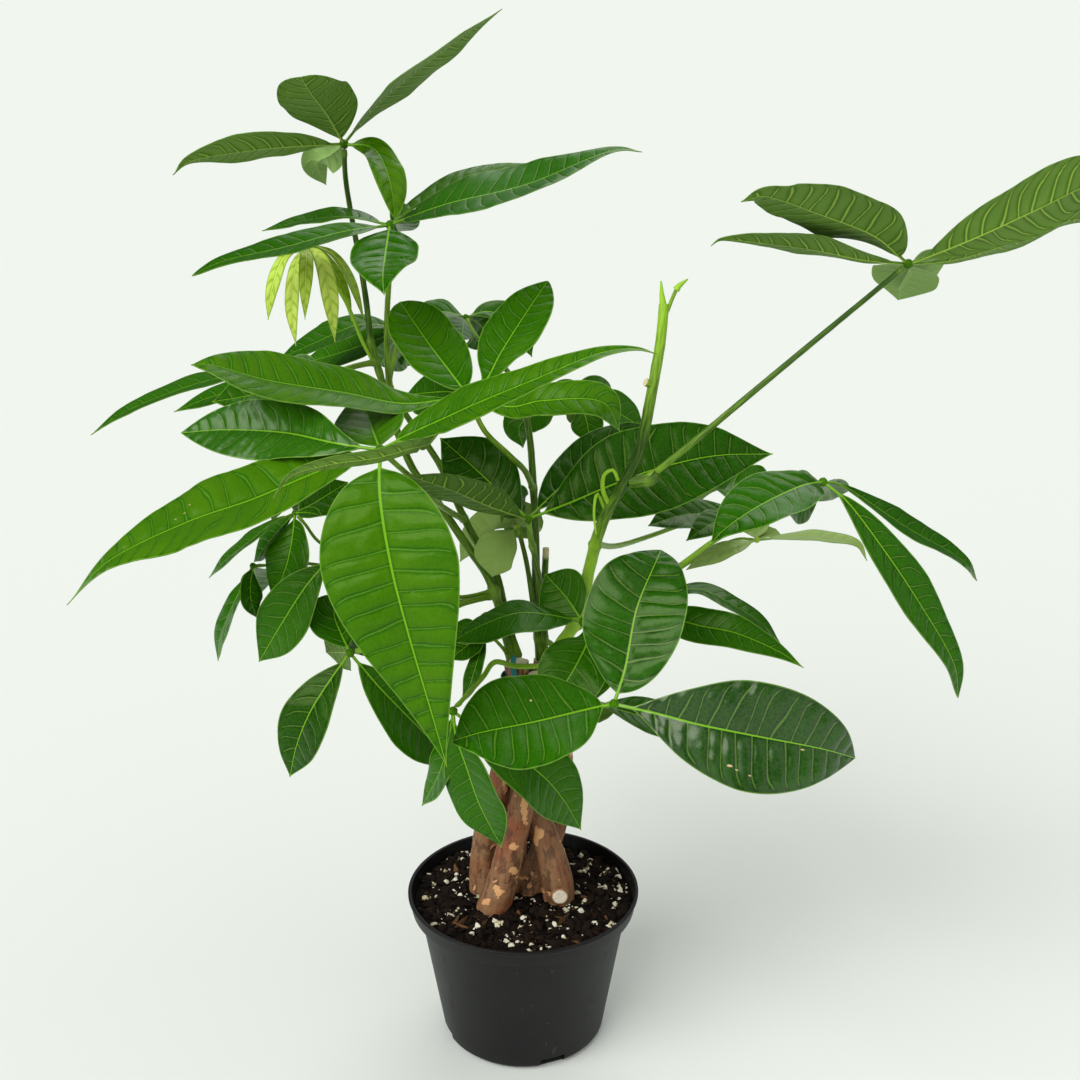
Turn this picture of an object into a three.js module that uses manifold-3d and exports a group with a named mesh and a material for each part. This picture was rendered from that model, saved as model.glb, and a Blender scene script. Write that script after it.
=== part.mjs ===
// A money tree with a braided trunk in a round nursery pot.
// Millimetres, +Z up, the origin at the centre of the pot's flat underside.

import * as THREE from 'three';
import Module from 'manifold-3d';
import { mergeVertices } from 'three/addons/utils/BufferGeometryUtils.js';

const wasm = await Module();
wasm.setup();

// Pot sizes
const POT_HEIGHT = 110;
const RIM_RADIUS = 82.5;
const SKIRT_FOOT_RADIUS = 79.7;
const SKIRT_HEIGHT = 12;
const BODY_TOP_RADIUS = 74.4;
const BODY_FOOT_RADIUS = 58.4;
const FOOT_ROUND = 4;
const WALL = 1.8;
const FLOOR = 2.2;
const RIM_THICK = 2.8;
const RIM_BAND = 1.8;
const RIM_CHAMFER = 0.5;
const RIM_SLOPE = 0.8;
const FOOT_CUT = 0.3;
const INNER_FOOT_CUT = 0.6;
const POT_SEGMENTS = 36;
const DRAIN_SLOTS = 4;
const DRAIN_WIDE = 18;
const DRAIN_TALL = 8;
const DRAIN_FIRST_TURN = -69;

// Soil and the gap kept between touching pieces
const GAP = 0.35;
const SOIL_EDGE_HEIGHT = 101.5;
const SOIL_SWELL = 1.5;
const SOIL_LUMP = 1.1;
const SOIL_LUMP_WAVES = [0.19, 0.23, 0.41, 0.37];
const SOIL_LUMP_TURN = 0.7;
const SOIL_FINE_LUMP = 0.6;
const SOIL_FLOOR_GAP = 0.5;
const SOIL_WALL_GAP = 0.3;
const SOIL_NECK_TALL = 5;
const SOIL_BRIM_SLOPE = 0.4;
const SOIL_RINGS = [60, 42, 22, 0];
const SOIL_SEGMENTS = 18;

// Trunk
const STRAND_SIDES = 8;
const STRAND_STEP = 15;
const STRAND_BURIED = 62;
const STRAND_SPARE = 8;
const STRAND_UPRIGHT = 12;
const SCAR_MIDDLE = [26, -10.5, 112];
const SCAR_FACE_RADIUS = 5.6;
const SCAR_ROOT_RADIUS = 5;
const SCAR_LENGTH = 14;
const SCAR_SIDES = 10;
const TIE_HEIGHT = 264;
const TIE_TALL = 6;
const TIE_THICK = 1.2;
const TIE_SLACK = 0.6;
const TIE_STEPS = 20;

// Stems and leaves
const STEM_STEP = 34;
const STEM_SIDES = 5;
const PETIOLE_SIDES = 5;
const PETIOLE_RADII = [2.1, 1.5];
const SMALL_PETIOLE_RADII = [1.4, 1];
const BLADE_THICK = 0.7;
const ROOT_THICK = 1.6;
const ROOT_HALF_WIDTH = 1;
const TIP_HALF_WIDTH = 0.45;
const SMALL_BLADE = 29;
const ROOT_SHARE = 0.055;
const ROOT_SUNK = 0.45;
const LARGE_ROWS = [0, ROOT_SHARE, 0.22, 0.42, 0.62, 0.82, 1];
const SMALL_ROWS = [0, ROOT_SHARE, 0.34, 0.68, 1];
const KNOB = 3;
const SMALL_KNOB = 2.2;

// Leaves and stems are placed as seen from a viewpoint in front of the plant. A place is
// [across, down, near]: across and down in a picture 1080 units square, and near in mm,
// how far the place lies in front of the pot's axis.
const EYE = new THREE.Vector3(12, -768, 576);
const EYE_PITCH = THREE.MathUtils.degToRad(15.2);
const EYE_FOCAL = 1200;
const PICTURE_MIDDLE = 540;

function place([across, down, near]) {
  const rise = PICTURE_MIDDLE - down;
  const ray = new THREE.Vector3(
    across - PICTURE_MIDDLE,
    EYE_FOCAL * Math.cos(EYE_PITCH) + rise * Math.sin(EYE_PITCH),
    rise * Math.cos(EYE_PITCH) - EYE_FOCAL * Math.sin(EYE_PITCH),
  );
  return ray.multiplyScalar((-near - EYE.y) / ray.y).add(EYE);
}

const LOOKS = {
  pot: { color: 0x17181a, roughness: 0.55, metalness: 0 },
  soil: { color: 0x2a1c14, roughness: 0.95, metalness: 0 },
  bark: { color: 0x8a6246, roughness: 0.85, metalness: 0 },
  tie: { color: 0x1d7f86, roughness: 0.5, metalness: 0 },
  darkStem: { color: 0x3c5a1e, roughness: 0.5, metalness: 0 },
  stem: { color: 0x5c8a22, roughness: 0.45, metalness: 0 },
  leaf: { color: 0x2f6b12, roughness: 0.35, metalness: 0 },
  youngLeaf: { color: 0x7da43a, roughness: 0.4, metalness: 0 },
};

// Strand centre lines in mm, with the radius at each level: [x, y, z, radius]
const STRANDS = {
  strand_front_left: [
    [-22, -16, 97, 12.5], [-15.5, -16, 120, 11], [-8.5, -15.5, 147, 9.8], [-2.8, -15, 170, 8.9],
    [4.3, -13.5, 200, 8.1], [9, -12, 230, 7.4], [11, -11.5, 260, 6.9], [11, -11.5, 277, 6.7],
  ],
  strand_left: [
    [-28.3, 8, 97, 11.3], [-28, 8, 120, 11], [-25.5, 6, 147, 10.2], [-20.5, 4, 170, 9.3],
    [-14.5, 0, 200, 8.2], [-8.8, -3.6, 230, 7.4], [-3.2, -5.8, 260, 7], [-2.2, -6, 284, 6.8],
  ],
  strand_front_right: [
    [26, -4, 97, 11.4], [24, -7, 120, 11.3], [16.5, -4.5, 147, 10.6], [7, 2, 170, 9.4],
    [1, 9.5, 200, 8.1], [-1, 10.3, 230, 7.3], [-5.4, 8.6, 260, 6.7], [-6.3, 8.2, 276, 6.6],
  ],
  strand_right: [
    [3.8, 5.6, 97, 10.4], [10.4, 12, 120, 10.3], [21, 16.2, 147, 9.9], [25, 13, 170, 9.3],
    [27, 8, 200, 8.3], [26, 3, 230, 7.5], [23, 0.5, 260, 6.9], [22.4, 0.3, 279, 6.7],
  ],
  strand_back: [
    [-9, 29, 97, 11], [-9, 29.5, 120, 10.8], [-6, 28.5, 147, 10], [-3, 27, 170, 9.2],
    [4, 27.3, 200, 8.1], [10.5, 22.5, 230, 7.3], [13.8, 14.5, 260, 6.8], [13.8, 13.8, 278, 6.6],
  ],
};

// Each shoot's stems: places from foot to tip, with the radius in mm at both ends. The feet
// are cut level just above the top of the strand that is their seat.
const SHOOTS = {
  shoot_left: {
    look: 'darkStem',
    seat: 'strand_front_right',
    stems: [
      {
        line: [[510.4, 676, -8], [510.4, 654, -8], [506, 636, -9], [498, 603, -11],
          [487, 575, -11], [470, 550, -14], [453, 525, -16], [434, 497, -17], [414, 471, -18],
          [396, 428, -20], [383, 385, -21], [375, 358, -22], [371, 343, -23]],
        radii: [3.3, 2.2],
      },
      {
        line: [[516.6, 676, -8.4], [516.6, 654, -8.4], [511, 636, -11], [503, 603, -15],
          [496, 575, -20], [484, 553, -24], [470, 530, -27], [455, 498, -30], [441, 467, -32],
          [428, 446, -34], [404, 412, -34], [388, 384, -32]],
        radii: [3.3, 1.9],
      },
    ],
  },
  shoot_centre: {
    look: 'darkStem',
    seat: 'strand_back',
    stems: [
      {
        line: [[540, 674, -12], [540, 652, -12], [537, 620, -12], [536, 570, -10],
          [535, 520, -9], [533, 480, -9], [530, 440, -10], [526, 415, -14], [516, 385, -30],
          [498, 358, -50]],
        radii: [3.4, 1.7],
      },
      { line: [[539, 673, -15], [538, 650, -15], [531, 590, -6], [526, 560, -4], [520, 535, -3]],
        radii: [2.4, 1.5] },
      { line: [[545, 674, -12], [545, 652, -12], [541, 590, 0], [536, 562, 10], [531, 541, 18]],
        radii: [2.4, 1.8] },
      { line: [[545, 673, -15], [545, 650, -15], [544, 600, -13], [546, 548, -12]],
        radii: [2.4, 2.2] },
    ],
  },
  shoot_right: {
    look: 'stem',
    seat: 'strand_right',
    stems: [
      {
        line: [[555.2, 677, -0.3], [555.3, 657, -0.3], [560, 645, 3], [568, 634, 9],
          [575, 622, 14], [583, 596, 22], [591, 562, 35], [599, 532, 48], [608, 510, 57],
          [622, 486, 62], [637, 458, 64], [645, 428, 64], [651, 396, 62], [655, 375, 60],
          [660, 345, 58], [663, 318, 57], [664, 304, 56]],
        radii: [4.4, 3],
      },
      { line: [[664, 310, 56], [662, 296, 56], [661, 281, 56]], radii: [2.4, 0.5] },
      { line: [[667, 312, 56], [673, 297, 57], [677, 288, 58]], radii: [1.2, 1.1] },
      { line: [[676, 290, 58], [679, 286, 58], [688, 279, 59]], radii: [2.2, 0.4] },
      { line: [[630, 481, 62], [650, 480, 65], [658, 474, 66]], radii: [4.4, 3] },
      { line: [[653, 385, 61], [645, 382, 63]], radii: [2.6, 2.3] },
      { line: [[611, 508, 58], [603, 490, 64], [605, 474, 70], [613, 470, 72], [618, 480, 70]],
        radii: [1.6, 1] },
      { line: [[607, 514, 56], [597, 494, 62], [594, 512, 68], [596, 534, 68]], radii: [1.2, 0.6] },
    ],
  },
};

// Leaves: the hub, the petiole from the stem to the hub, and the leaflets round the hub. A
// leaflet's rib runs from the hub through its places to the tip; wide is its width in mm, and
// turn is how far its upper side is turned about the rib from facing the viewer, in degrees,
// by the right-hand rule. fold is how far each half rises from the rib. fat says where along
// the rib the blade is widest, and slim how fast it narrows past that. foot is below 1 where
// the blade widens at once, and tip is above 1 where it is drawn out to a fine tip.
const LEAVES = {
  leaf_top_left: {
    stem: 'shoot_left',
    hub: [344, 144, 4],
    petiole: [[371, 345, -23], [366, 300, -28], [360, 262, -30], [350, 208, -20], [345, 172, 0]],
    leaflets: [
      {
        rib: [[328, 116, 29], [310, 92, 62], [301, 77, 77]],
        wide: 40.9, turn: 156, fat: 0.49, slim: 2.14, foot: 0.89, tip: 0.6,
      },
      {
        rib: [[374, 107, 14], [428, 61, 26], [502, 9, 30]],
        wide: 40.5, turn: -105, fold: -11, fat: 0.48, slim: 1.05, foot: 0.78, tip: 1.35,
      },
      {
        rib: [[309, 145, 14], [250, 150, 24], [188, 162, 28], [173, 175, 24]],
        wide: 32.9, turn: 118, fat: 0.51, slim: 1.03, foot: 0.87, tip: 1.46,
      },
      { rib: [[330, 155, -20], [317, 164, -40], [326, 185, -58]], wide: 22, turn: 170 },
      {
        rib: [[372, 148, 12], [386, 170, 28], [392, 193, 38], [395, 219, 43]],
        wide: 21.9, turn: -35, fat: 0.56, slim: 1.5, foot: 0.66, tip: 0.9,
      },
    ],
  },
  leaf_high_left: {
    stem: 'shoot_left',
    hub: [390, 225, 18],
    petiole: [[389, 388, -32], [387, 350, -26], [387, 318, -20], [389, 280, -8], [391, 250, 6]],
    leaflets: [
      {
        rib: [[445, 205, 34], [526, 185, 47], [617, 150, 52], [642, 152, 50]],
        wide: 58.5, turn: -70, fat: 0.46, slim: 0.77, foot: 0.64, tip: 1.22,
      },
      { rib: [[418, 204, 2], [462, 181, -8], [530, 163, -12]], wide: 30, turn: -72 },
      {
        rib: [[344, 232, 34], [283, 248, 47], [222, 262, 52], [192, 276, 51]],
        wide: 29.5, turn: 67, fat: 0.44, slim: 0.7, foot: 0.73, tip: 0.64,
      },
      { rib: [[350, 217, 4], [305, 221, -8], [262, 231, -12]], wide: 28, turn: 74 },
      {
        rib: [[385, 257, 50], [383, 278, 80], [384, 295, 94]],
        wide: 39.9, turn: 14, fat: 0.4, slim: 1.21, foot: 0.67, tip: 1.28,
      },
      { rib: [[396, 224, -20], [398, 232, -64]], wide: 30, turn: 0 },
    ],
  },
  leaf_new_left: {
    stem: 'shoot_left',
    look: 'youngLeaf',
    small: true,
    hub: [306, 243, -8],
    petiole: [[379, 372, -22], [362, 340, -22], [352, 315, -22], [340, 292, -14], [325, 274, -6]],
    leaflets: [
      { rib: [[284, 258, 2], [272, 290, 8], [268, 320, 10]], wide: 9, turn: 30 },
      { rib: [[295, 270, 14], [292, 310, 20], [296, 346, 20]], wide: 9, turn: 20 },
      { rib: [[306, 262, 26], [305, 292, 34], [305, 320, 34]], wide: 9, turn: -20 },
      { rib: [[322, 262, 16], [330, 300, 26], [335, 342, 26]], wide: 12, turn: -30 },
      { rib: [[325, 258, -30], [344, 290, -46], [352, 322, -50]], wide: 9, turn: -40 },
      { rib: [[332, 254, -24], [352, 284, -44], [364, 320, -56]], wide: 9, turn: -50 },
    ],
  },
  leaf_front_left: {
    stem: 'shoot_left',
    hub: [380, 450, 128],
    petiole: [[464, 520, -27], [440, 505, 20], [416, 482, 78], [398, 466, 108]],
    leaflets: [
      {
        rib: [[380, 495, 143], [391, 565, 152], [408, 632, 153], [432, 714, 150], [447, 767, 146]],
        wide: 76.1, turn: 16, fat: 0.34, slim: 0.72, foot: 0.53, tip: 1.18,
      },
      {
        rib: [[316, 473, 128], [252, 500, 133], [191, 521, 132], [108, 562, 120], [67, 605, 102]],
        wide: 57.4, turn: 55, fat: 0.45, slim: 0.7, foot: 0.5, tip: 1.78,
      },
      {
        rib: [[338, 444, 125], [285, 433, 102], [224, 430, 85], [181, 433, 74]],
        wide: 38.8, turn: 27, fat: 0.52, slim: 1.33, foot: 0.96, tip: 0.97,
      },
      { rib: [[374, 434, 100], [366, 412, 72], [358, 392, 52]], wide: 40, turn: 5, fat: 0.5 },
      {
        rib: [[413, 433, 125], [446, 418, 129], [472, 406, 138], [537, 379, 146], [602, 353, 141],
          [636, 349, 136], [657, 354, 130]],
        wide: 29.6, turn: -53, fold: 13, fat: 0.32, slim: 0.82, foot: 0.5, tip: 1.16,
      },
    ],
  },
  leaf_inner: {
    stem: 'shoot_centre',
    hub: [468, 396, 66],
    petiole: [[533, 488, -9], [525, 471, 12], [509, 455, 36], [484, 430, 56]],
    leaflets: [
      {
        rib: [[406, 404, 75], [344, 393, 88], [265, 380, 98], [210, 365, 101], [191, 365, 99]],
        wide: 44.6, turn: 55, fold: 13, fat: 0.64, slim: 1.61, foot: 0.95, tip: 1.23,
      },
      {
        rib: [[447, 368, 48], [428, 343, 30], [400, 302, 13]],
        wide: 39.9, turn: 25, fat: 0.57, slim: 1.7, foot: 0.5, tip: 0.6,
      },
      {
        rib: [[485, 382, 62], [501, 353, 44], [525, 315, 26], [548, 281, 9]],
        wide: 37.2, turn: -33, fat: 0.55, slim: 1.34, foot: 1.25, tip: 0.78,
      },
      {
        rib: [[509, 407, 71], [543, 401, 85], [603, 403, 90], [620, 432, 84]],
        wide: 25.1, turn: -39, fat: 0.72, slim: 1.07, foot: 0.5, tip: 1.34,
      },
      {
        rib: [[431, 440, 84], [423, 445, 117], [415, 447, 143], [410, 448, 158], [378, 457, 170],
          [330, 464, 174], [291, 476, 166], [273, 498, 161]],
        wide: 12.2, turn: 125, fat: 0.6, slim: 1.35, foot: 0.73, tip: 1.04,
      },
      { rib: [[447, 392, 40], [406, 395, 4]], wide: 34, turn: 30 },
    ],
  },
  leaf_centre: {
    stem: 'shoot_centre',
    hub: [528, 519, 30],
    petiole: [[533, 549, 15], [531, 541, 18], [530, 532, 22]],
    leaflets: [
      { rib: [[505, 497, 24], [472, 466, 10], [440, 438, 2]], wide: 46, turn: 15 },
      { rib: [[490, 506, 56], [450, 489, 86], [408, 475, 104]], wide: 38, turn: 122 },
      {
        rib: [[570, 503, 27], [610, 486, 22], [660, 468, 14], [715, 456, 6], [773, 454, -2]],
        wide: 64, turn: -28, fat: 0.45,
      },
      { rib: [[570, 480, 4], [630, 447, -20], [686, 448, -32]], wide: 46, turn: -40 },
      { rib: [[514, 506, -14], [509, 495, -50], [506, 490, -84]], wide: 26, turn: 0 },
    ],
  },
  leaf_hanging_centre: {
    stem: 'shoot_centre',
    small: true,
    look: 'youngLeaf',
    hub: [517, 527, -8],
    petiole: [[520, 536, -3], [519, 531, -5]],
    leaflets: [
      { rib: [[504, 541, -2], [494, 558, 0], [492, 577, -2]], wide: 34, turn: 35 },
      { rib: [[496, 524, -50], [472, 540, -64], [460, 562, -68]], wide: 34, turn: 40 },
      { rib: [[522, 520, -40], [518, 530, -70]], wide: 30, turn: 0 },
    ],
  },
  leaf_front: {
    stem: 'shoot_right',
    hub: [614, 704, 118],
    petiole: [[562, 662, 4], [572, 680, 36], [592, 700, 78], [604, 705, 100]],
    leaflets: [
      {
        rib: [[625, 669, 111], [637, 608, 97], [655, 564, 80], [661, 550, 67]],
        wide: 59.6, turn: -10, fat: 0.5, slim: 1.33, foot: 0.61, tip: 0.91,
      },
      {
        rib: [[655, 713, 125], [697, 724, 133], [746, 734, 137], [823, 749, 136], [855, 758, 126]],
        wide: 63.5, turn: 11, fat: 0.55, slim: 1.16, foot: 1.1, tip: 0.91,
      },
      {
        rib: [[590, 709, 118], [535, 722, 128], [480, 733, 136], [456, 740, 139], [452, 741, 137]],
        wide: 64.8, turn: 35, fat: 0.52, slim: 1.71, foot: 0.63, tip: 1.33,
      },
    ],
  },
  leaf_low_centre: {
    stem: 'shoot_right',
    hub: [583, 622, 52],
    petiole: [[584, 594, 20], [592, 604, 34], [588, 614, 44]],
    leaflets: [
      {
        rib: [[549, 615, 62], [519, 613, 68], [483, 625, 70], [450, 643, 68]],
        wide: 38, turn: 58, fold: -10,
      },
      { rib: [[566, 597, 42], [545, 574, 30]], wide: 34, turn: -8 },
      { rib: [[588, 638, 64], [578, 662, 78], [560, 692, 88], [545, 716, 92]], wide: 42, turn: 10 },
    ],
  },
  leaf_low_small: {
    stem: 'shoot_left',
    small: true,
    hub: [487, 633, 18],
    petiole: [[508, 655, -8], [501, 646, 4], [494, 639, 12]],
    leaflets: [
      { rib: [[470, 632, 26], [450, 641, 30]], wide: 22, turn: 40 },
      { rib: [[470, 644, 28], [449, 660, 34]], wide: 20, turn: 30 },
      { rib: [[478, 660, 32], [470, 685, 34], [462, 703, 32]], wide: 14, turn: 40 },
      { rib: [[491, 622, 32], [500, 613, 40]], wide: 16, turn: 0 },
      { rib: [[477, 640, 2], [465, 654, -14]], wide: 18, turn: 10 },
    ],
  },
  leaf_low_left: {
    stem: 'shoot_right',
    hub: [453, 711, 76],
    petiole: [[560, 664, 4], [540, 666, 26], [515, 666, 30], [495, 662, 32], [483, 677, 44],
      [465, 697, 64]],
    leaflets: [
      { rib: [[456, 735, 84], [466, 765, 86], [480, 805, 82], [502, 847, 72]], wide: 38, turn: 40 },
      { rib: [[492, 742, 82], [538, 772, 76], [562, 798, 68], [581, 830, 58]], wide: 42, turn: -20 },
      { rib: [[449, 740, 71], [440, 772, 71], [422, 806, 63]], wide: 24, turn: 50 },
    ],
  },
  leaf_right: {
    stem: 'shoot_right',
    hub: [823, 482, 48],
    petiole: [[576, 628, 12], [620, 600, 30], [650, 584, 38], [681, 565, 42], [711, 543, 45],
      [770, 506, 46]],
    leaflets: [
      {
        rib: [[802, 486, 65], [756, 508, 83], [723, 531, 94], [710, 545, 97]],
        wide: 44.6, turn: 44, fat: 0.49, slim: 1.2, foot: 0.67, tip: 1.22,
      },
      {
        rib: [[845, 500, 57], [885, 552, 66], [919, 603, 68], [954, 665, 65], [958, 698, 57]],
        wide: 30.4, turn: -39, fat: 0.49, slim: 0.7, foot: 0.82, tip: 0.79,
      },
      {
        rib: [[838, 484, 44], [907, 528, 38], [965, 563, 32], [977, 581, 27]],
        wide: 34.6, turn: -70, fat: 0.56, slim: 0.9, foot: 1.11, tip: 0.9,
      },
      { rib: [[828, 488, 16], [832, 500, -30]], wide: 26, turn: 0 },
      { rib: [[808, 494, 14], [786, 510, -26]], wide: 34, turn: 30 },
    ],
  },
  leaf_top_right: {
    stem: 'shoot_right',
    hub: [908, 264, 62],
    petiole: [[648, 478, 65], [680, 453, 63], [740, 403, 62], [794, 358, 61], [874, 292, 61]],
    leaflets: [
      {
        rib: [[877, 237, 72], [815, 212, 87], [778, 199, 96], [760, 196, 101], [741, 202, 101]],
        wide: 56.6, turn: 119, fat: 0.43, slim: 1.48, foot: 0.69, tip: 1.25,
      },
      {
        rib: [[862, 259, 59], [818, 250, 55], [767, 243, 52], [720, 240, 49], [711, 246, 47]],
        wide: 35.5, turn: 108, slim: 0.82, foot: 0.86, tip: 1.15,
      },
      {
        rib: [[945, 250, 72], [981, 235, 80], [1035, 210, 86], [1090, 184, 86], [1150, 168, 80]],
        wide: 46, turn: -132,
      },
      { rib: [[950, 260, 60], [1010, 243, 56], [1075, 219, 52], [1146, 222, 46]], wide: 40, turn: -108 },
      { rib: [[905, 276, 36], [898, 300, 6]], wide: 40, turn: 180 },
      { rib: [[919, 271, 36], [931, 286, 4]], wide: 32, turn: 180 },
    ],
  },
  leaf_pale_right: {
    stem: 'shoot_right',
    small: true,
    look: 'youngLeaf',
    hub: [757, 540, -58],
    petiole: [[577, 622, 14], [610, 612, 0], [681, 568, -52], [711, 550, -66], [738, 539, -70]],
    leaflets: [
      { rib: [[735, 547, -46], [710, 558, -34], [686, 570, -28]], wide: 22, turn: 55 },
      { rib: [[790, 537, -58], [830, 538, -60], [858, 545, -62], [867, 561, -64]], wide: 18, turn: -64 },
      { rib: [[764, 534, -78], [776, 529, -100]], wide: 22, turn: -40 },
      { rib: [[752, 528, -82], [742, 520, -112]], wide: 28, turn: 20 },
    ],
  },
  leaf_back_right: {
    stem: 'shoot_right',
    hub: [737, 506, -84],
    petiole: [[596, 544, 43], [616, 546, -14], [650, 536, -76], [700, 518, -102]],
    leaflets: [
      { rib: [[708, 513, -68], [680, 516, -58], [648, 526, -52]], wide: 38, turn: 48 },
      { rib: [[722, 518, -58], [702, 530, -42], [686, 541, -36]], wide: 24, turn: 35 },
      { rib: [[760, 490, -120], [775, 500, -160]], wide: 44, turn: -60 },
      { rib: [[722, 490, -124], [702, 494, -166]], wide: 42, turn: 60 },
    ],
  },
  leaf_lower_right: {
    stem: 'shoot_right',
    hub: [656, 602, 8],
    petiole: [[580, 610, 16], [615, 606, 13], [640, 603, 10]],
    leaflets: [
      {
        rib: [[676, 593, 8], [700, 590, 9], [734, 606, 16], [763, 625, 19], [780, 643, 19]],
        wide: 26.3, turn: -68, fat: 0.57, slim: 1.26, foot: 0.5, tip: 1.06,
      },
      {
        rib: [[672, 616, 15], [696, 625, 26], [735, 633, 36], [779, 652, 41], [804, 668, 43]],
        wide: 26.6, turn: -26, fat: 0.31, slim: 1.2, foot: 0.5, tip: 1.24,
      },
      { rib: [[666, 606, -22], [664, 624, -56], [660, 645, -80]], wide: 34, turn: 0 },
    ],
  },
  leaf_small_left: {
    stem: 'shoot_left',
    small: true,
    hub: [295, 513, 18],
    petiole: [[492, 591, -12], [462, 597, -4], [420, 590, 8], [345, 556, 18], [318, 541, 20],
      [305, 524, 20]],
    leaflets: [
      { rib: [[275, 522, 26], [250, 541, 32], [225, 561, 34], [209, 578, 32]], wide: 28, turn: 76 },
      { rib: [[275, 535, 14], [254, 562, 10]], wide: 28, turn: 62 },
      { rib: [[293, 535, 30], [287, 565, 36], [273, 600, 34]], wide: 36, turn: 40 },
      { rib: [[316, 502, 0], [348, 482, -20]], wide: 28, turn: -20 },
      { rib: [[308, 513, 28], [322, 516, 36]], wide: 10, turn: -40 },
      { rib: [[292, 506, -10], [280, 510, -44]], wide: 30, turn: 60 },
    ],
  },
  leaf_left: {
    stem: 'shoot_left',
    small: true,
    hub: [253, 566, 30],
    petiole: [[492, 591, -12], [462, 597, -4], [420, 593, 6], [345, 570, 12], [300, 563, 14],
      [272, 565, 20]],
    leaflets: [
      { rib: [[243, 585, 38], [229, 615, 42], [220, 640, 42], [218, 661, 40]], wide: 22, turn: 66 },
      { rib: [[250, 585, 42], [251, 602, 46], [257, 618, 46]], wide: 18, turn: -40 },
      { rib: [[256, 576, 4], [262, 592, -18]], wide: 22, turn: 0 },
    ],
  },
  leaf_left_behind: {
    stem: 'shoot_left',
    small: true,
    hub: [332, 556, 52],
    petiole: [[492, 594, -12], [462, 601, 0], [420, 598, 26], [358, 563, 46]],
    leaflets: [
      { rib: [[307, 585, 54], [281, 625, 52], [259, 662, 44]], wide: 36, turn: 24 },
      { rib: [[348, 582, 60], [366, 602, 66], [378, 622, 66]], wide: 30, turn: -20 },
      { rib: [[345, 545, 78], [364, 540, 100], [382, 546, 112]], wide: 32, turn: 0 },
    ],
  },
  leaf_hanging_left: {
    stem: 'shoot_left',
    hub: [350, 653, 62],
    petiole: [[492, 596, -12], [462, 604, 6], [424, 624, 36], [382, 644, 56]],
    leaflets: [
      { rib: [[334, 675, 68], [311, 711, 74], [297, 745, 72], [290, 777, 66]], wide: 35, turn: 30 },
      { rib: [[376, 684, 64], [405, 714, 56], [434, 743, 46], [460, 766, 38]], wide: 42, turn: -26 },
      { rib: [[341, 634, 56], [334, 614, 46], [338, 592, 34]], wide: 34, turn: 10 },
      { rib: [[340, 652, 42], [326, 652, 16]], wide: 30, turn: 150 },
      { rib: [[365, 650, 30], [385, 660, -4]], wide: 36, turn: -40 },
    ],
  },
  leaf_back_left: {
    stem: 'shoot_left',
    hub: [403, 328, -66],
    petiole: [[388, 386, -33], [392, 366, -42], [398, 345, -55]],
    leaflets: [
      { rib: [[360, 325, -60], [320, 341, -52], [278, 360, -46]], wide: 38, turn: 66 },
      { rib: [[372, 342, -78], [330, 356, -88], [300, 364, -94]], wide: 36, turn: 55 },
      { rib: [[394, 342, -96], [380, 366, -126]], wide: 38, turn: 20 },
      { rib: [[412, 338, -96], [424, 362, -126]], wide: 38, turn: -20 },
      { rib: [[424, 330, -62], [448, 352, -60]], wide: 34, turn: -40 },
    ],
  },
  leaf_far_left: {
    stem: 'shoot_left',
    hub: [318, 376, 14],
    petiole: [[376, 362, -22], [356, 366, -10], [336, 372, 4]],
    leaflets: [
      {
        rib: [[262, 372, 24], [212, 380, 30], [160, 397, 32], [120, 415, 30], [91, 435, 28]],
        wide: 30, turn: 74,
      },
      { rib: [[262, 386, -4], [215, 396, -12], [174, 412, -14]], wide: 28, turn: 62 },
      { rib: [[280, 388, 40], [243, 397, 54], [212, 402, 60]], wide: 36, turn: 40 },
      { rib: [[310, 376, -28], [296, 384, -68]], wide: 32, turn: 0 },
    ],
  },
  leaf_back_top: {
    stem: 'shoot_centre',
    small: true,
    hub: [466, 317, -92],
    petiole: [[500, 361, -47], [484, 346, -64], [474, 332, -78]],
    leaflets: [
      { rib: [[442, 312, -90], [412, 318, -88]], wide: 32, turn: 62 },
      { rib: [[490, 312, -98], [516, 326, -100], [532, 357, -98]], wide: 34, turn: -55 },
      { rib: [[480, 325, -112], [492, 350, -132]], wide: 34, turn: -10 },
      { rib: [[464, 322, -126], [462, 340, -160]], wide: 34, turn: 10 },
    ],
  },
  leaf_back_centre: {
    stem: 'shoot_centre',
    hub: [578, 402, -96],
    petiole: [[526, 416, -14], [540, 410, -44], [558, 404, -76]],
    leaflets: [
      { rib: [[586, 418, -88], [590, 443, -84]], wide: 24, turn: 10 },
      { rib: [[608, 408, -104], [645, 430, -108]], wide: 36, turn: -45 },
      { rib: [[548, 405, -100], [520, 426, -98], [523, 448, -96]], wide: 38, turn: 40 },
      { rib: [[572, 402, -132], [564, 414, -172]], wide: 40, turn: 10 },
      { rib: [[592, 400, -132], [608, 412, -168]], wide: 38, turn: -20 },
    ],
  },
  leaf_back_low: {
    stem: 'shoot_centre',
    hub: [592, 702, -66],
    petiole: [[541, 638, -12], [553, 646, -32], [568, 674, -54]],
    leaflets: [
      { rib: [[560, 704, -72], [520, 712, -84], [490, 722, -90]], wide: 44, turn: 50 },
      { rib: [[604, 670, -78], [618, 630, -92], [628, 602, -98]], wide: 42, turn: -10 },
      { rib: [[640, 716, -76], [690, 728, -86], [725, 738, -88]], wide: 44, turn: -50 },
      { rib: [[590, 696, -104], [588, 706, -146]], wide: 46, turn: 0 },
    ],
  },
};

// Solids and meshes

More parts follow.
